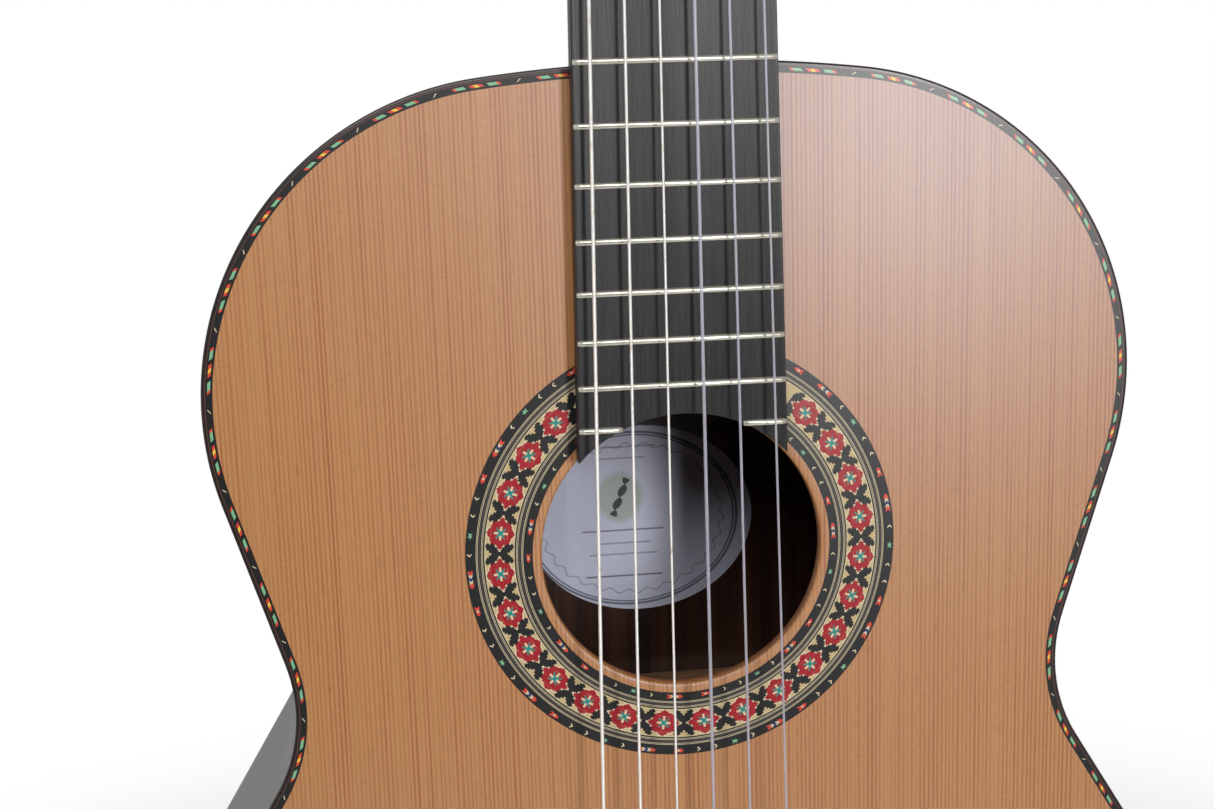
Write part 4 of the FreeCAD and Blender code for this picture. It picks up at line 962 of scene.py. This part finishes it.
def make_frets():
    """Nineteen nickel-silver frets, the last one cut in two by the soundhole."""
    mesh = bmesh.new()
    for number in range(1, 20):
        z = fret_height(number)
        half = board_half(z) - 0.25
        if number < 19:
            add_fret(mesh, z, -half, half)
        else:
            gap = math.sqrt(BOARD_ARC ** 2 - (z - HOLE_Z) ** 2) + 0.3
            add_fret(mesh, z, -half, -gap)
            add_fret(mesh, z, gap, half)
    piece("fret_wires", mesh, [NICKEL], "root", "nickel_silver", "frets")


def string_x(place, half):
    """Place of a string across, treble first."""
    return half - 2 * half * place / 5


def roller_touch(nut_point, place, radius):
    """Where a string from the nut first touches the front of its roller, behind and up the head."""
    away_z = nut_point.z - NUT_THICKNESS
    v = nut_point.y * math.cos(HEAD_TILT) - away_z * math.sin(HEAD_TILT)
    w = nut_point.y * math.sin(HEAD_TILT) + away_z * math.cos(HEAD_TILT)
    away_v, away_w = v - ROLLER_DEPTH, w - ROLLER_AXES[place]
    around = ROLLER_RADIUS + radius + 0.15
    turn = math.atan2(away_w, away_v) - math.acos(around / math.hypot(away_v, away_w))
    return ROLLER_DEPTH + around * math.cos(turn), ROLLER_AXES[place] + around * math.sin(turn)


def make_strings():
    """Strings from the tie block over saddle and nut, and their turns around the rollers."""
    gap, front = 0.06, BRIDGE_BACK + TIE_BLOCK + 1.0
    half_at_nut, half_at_saddle = 20.6, 30.2
    nut_face, tie_face, tie_hole, saddle_face = -9.0, -9.8, -5.0, -14.0
    turns, pitch = 5, 2.15
    for place, radius in enumerate(STRING_RADII):
        number = place + 1
        material, slot = (NYLON, "nylon_string") if number <= 3 else (WOUND, "wound_string")
        x = string_x(place, half_at_saddle)
        behind = BRIDGE_BACK - radius - gap - 0.3
        over = radius + gap
        nut_point = Vector((string_x(place, half_at_nut), nut_face - gap, NUT_THICKNESS - 1.0))
        axis = place if place < 3 else 5 - place
        rest = ROLLER_REST[place]
        points = [
            Vector((x, tie_face - over, front)),
            Vector((x, tie_face - over, behind)),
            Vector((x, tie_hole, behind)),
            Vector((x, tie_hole, front)),
            Vector((x, saddle_face - over, SADDLE_Z - 0.8)),
            nut_point,
            head_place(rest, *roller_touch(nut_point, axis, radius)),
        ]
        mesh = bmesh.new()
        tube(mesh, rounded_path(points, [0.7, 0.7, 1.4, 1.25 + over, 2.0]), radius, 16)
        piece(f"string_{number}_wire", mesh, [material], "root", slot, f"string_{number}")

        # The outer strings wind inwards from where they arrive, the others to both sides of it.
        mesh = bmesh.new()
        side = 1 if place < 3 else -1
        before = 0 if place in (0, 5) else turns // 2
        for turn in range(turns):
            across = rest - side * (turn - before) * pitch * radius
            add_turn(mesh, across, ROLLER_AXES[axis], radius)
        piece(f"string_{number}_turns", mesh, [material], f"string_post_{number}", slot)


def add_turn(mesh, x, w, radius, count=28, sides=10):
    """One turn of string around a roller."""
    around = ROLLER_RADIUS + radius + 0.03
    rows = []
    for i in range(count):
        turn = math.tau * i / count
        row = []
        for k in range(sides):
            lean = math.tau * k / sides
            reach = around + radius * math.cos(lean)
            behind, up = ROLLER_DEPTH + reach * math.cos(turn), w + reach * math.sin(turn)
            row.append(head_place(x + radius * math.sin(lean), behind, up))
        rows.append(add_loop(mesh, row))
    bridge_all(mesh, rows + rows[:1])


# ---------------------------------------------------------------- tuner buttons

def make_buttons():
    """Flattened oval buttons with a waisted collar, one on each worm shaft."""
    # Along the shaft: distance from the worm, half width, half thickness.
    sections = [
        (14.2, 3.0, 3.0), (14.6, 3.4, 3.4), (15.8, 3.5, 3.4), (17.2, 3.9, 3.4), (18.6, 5.2, 3.8),
        (20.2, 6.7, 4.3), (22.4, 7.7, 4.65), (25.0, 8.0, 4.75), (28.0, 7.9, 4.7), (30.4, 7.2, 4.4),
        (32.0, 6.0, 3.8), (32.9, 4.4, 2.9), (33.2, 2.6, 1.7),
    ]
    sides, collar, squareness = 40, 18.0, 0.82
    for number in range(1, 7):
        side = 1 if number <= 3 else -1
        place = number - 1 if number <= 3 else 6 - number
        w = ROLLER_AXES[place] - WORM_DROP
        mesh = bmesh.new()
        rows = []
        for along, wide, thin in sections:
            power = squareness if along > collar else 1.0
            row = []
            for k in range(sides):
                turn = math.tau * k / sides
                x = math.copysign(abs(math.cos(turn)) ** power, math.cos(turn)) * thin
                z = math.copysign(abs(math.sin(turn)) ** power, math.sin(turn)) * wide
                row.append(head_place(side * WORM_X + x, ROLLER_DEPTH + along, w + z))
            rows.append(add_loop(mesh, row))
        close_rod(mesh, rows)
        piece(f"button_{number}_pearl", mesh, [PEARL], f"tuner_{number}", "pearl_button", f"button_{number}")


# ---------------------------------------------------------------- studio

def area_light(name, place, aim, size, radiance):
    """A soft rectangular white light of an even brightness."""
    data = bpy.data.lights.new(name, "AREA")
    data.shape = "RECTANGLE"
    data.size, data.size_y = size
    data.energy = radiance * math.pi * size[0] * size[1]
    obj = bpy.data.objects.new(name, data)
    obj.location = place
    obj.rotation_euler = (Vector(aim) - Vector(place)).to_track_quat("-Z", "Y").to_euler()
    bpy.context.scene.collection.objects.link(obj)


def make_world():
    """White room: full white where it is seen, bright behind the guitar, dim in front of it."""
    world = bpy.data.worlds.new("studio")
    bpy.context.scene.world = world
    world.use_nodes = True
    tree = world.node_tree
    back = tree.nodes["Background"]
    back.inputs["Color"].default_value = (1, 1, 1, 1)
    coords = tree.nodes.new("ShaderNodeTexCoord")
    split = tree.nodes.new("ShaderNodeSeparateXYZ")
    spread = tree.nodes.new("ShaderNodeMapRange")
    # From this far in front of the guitar to this far behind it, and the brightness at both.
    for name, value in (("From Min", -0.75), ("From Max", 0.25), ("To Min", 0.03), ("To Max", 0.55)):
        spread.inputs[name].default_value = value
    path = tree.nodes.new("ShaderNodeLightPath")
    seen = tree.nodes.new("ShaderNodeMath")
    seen.operation = "MAXIMUM"
    tree.links.new(coords.outputs["Generated"], split.inputs[0])
    tree.links.new(split.outputs["Y"], spread.inputs["Value"])
    tree.links.new(spread.outputs[0], seen.inputs[0])
    tree.links.new(path.outputs["Is Camera Ray"], seen.inputs[1])
    tree.links.new(seen.outputs[0], back.inputs["Strength"])


def make_floor():
    """Pale floor below the guitar that fades out into the white room."""
    clear, solid = 750.0, 300.0
    below = 0.004
    look = Look("floor_paper", Roughness=0.9, Emission_Strength=0.15)
    grain = look.noise((0.02, 0.02, 0.02), detail=3)
    look.paint(look.mix(grain, (0.90, 0.90, 0.90), (0.94, 0.94, 0.94)))
    look.shader.inputs["Emission Color"].default_value = (1, 1, 1, 1)
    reach = look.add("ShaderNodeVectorMath", operation="LENGTH")
    look.join(look.place, reach.inputs[0])
    fade = look.add("ShaderNodeMapRange", interpolation_type="SMOOTHSTEP")
    look.join(reach.outputs["Value"], fade.inputs["Value"])
    fade.inputs["From Min"].default_value = clear
    fade.inputs["From Max"].default_value = solid
    look.join(fade.outputs[0], look.shader.inputs["Alpha"])
    mesh = bmesh.new()
    corners = [(-clear, -clear, 0.0), (clear, -clear, 0.0), (clear, clear, 0.0), (-clear, clear, 0.0)]
    mesh.faces.new(add_loop(mesh, corners))
    bmesh.ops.scale(mesh, vec=(MM, MM, MM), verts=mesh.verts)
    data = bpy.data.meshes.new("floor")
    mesh.to_mesh(data)
    mesh.free()
    data.materials.append(look.material)
    floor = bpy.data.objects.new("floor", data)
    floor.location = (0.0, 0.05, CAD_BOX[0][2] - below)
    bpy.context.scene.collection.objects.link(floor)


def make_camera():
    """Camera close to the upper bout, a little to the bass side."""
    data = bpy.data.cameras.new("camera")
    data.sensor_width = 36.0
    data.lens = 48.295
    data.shift_x = 0.006354
    data.shift_y = 0.000506
    camera = bpy.data.objects.new("camera", data)
    camera.location = (-0.0788098, -0.4807426, -0.3334005)
    camera.rotation_euler = [math.radians(angle) for angle in (79.09971, 1.78721, -6.78725)]
    bpy.context.scene.collection.objects.link(camera)
    bpy.context.scene.camera = camera


def make_studio():
    """Camera, room and lights."""
    make_camera()
    make_world()
    make_floor()
    centre = (0.03, 0.0, -0.45)
    area_light("softbox", (0.57, -1.5, -0.22), centre, (0.24, 0.75), 26.5)
    area_light("top_fill", (-0.15, -0.6, 0.0), (0.0, 0.0, -0.36), (0.5, 0.3), 5.6)
    area_light("left_fill", (-1.7, -0.9, -0.3), centre, (0.4, 1.0), 1.5)
    bpy.context.scene.view_settings.view_transform = "Standard"


# ---------------------------------------------------------------- build

dress_nodes()
make_top()
make_bindings()
make_purfling()
make_mosaic()
make_rosette_bands()
make_fretboard()
make_frets()
make_strings()
make_buttons()
make_studio()
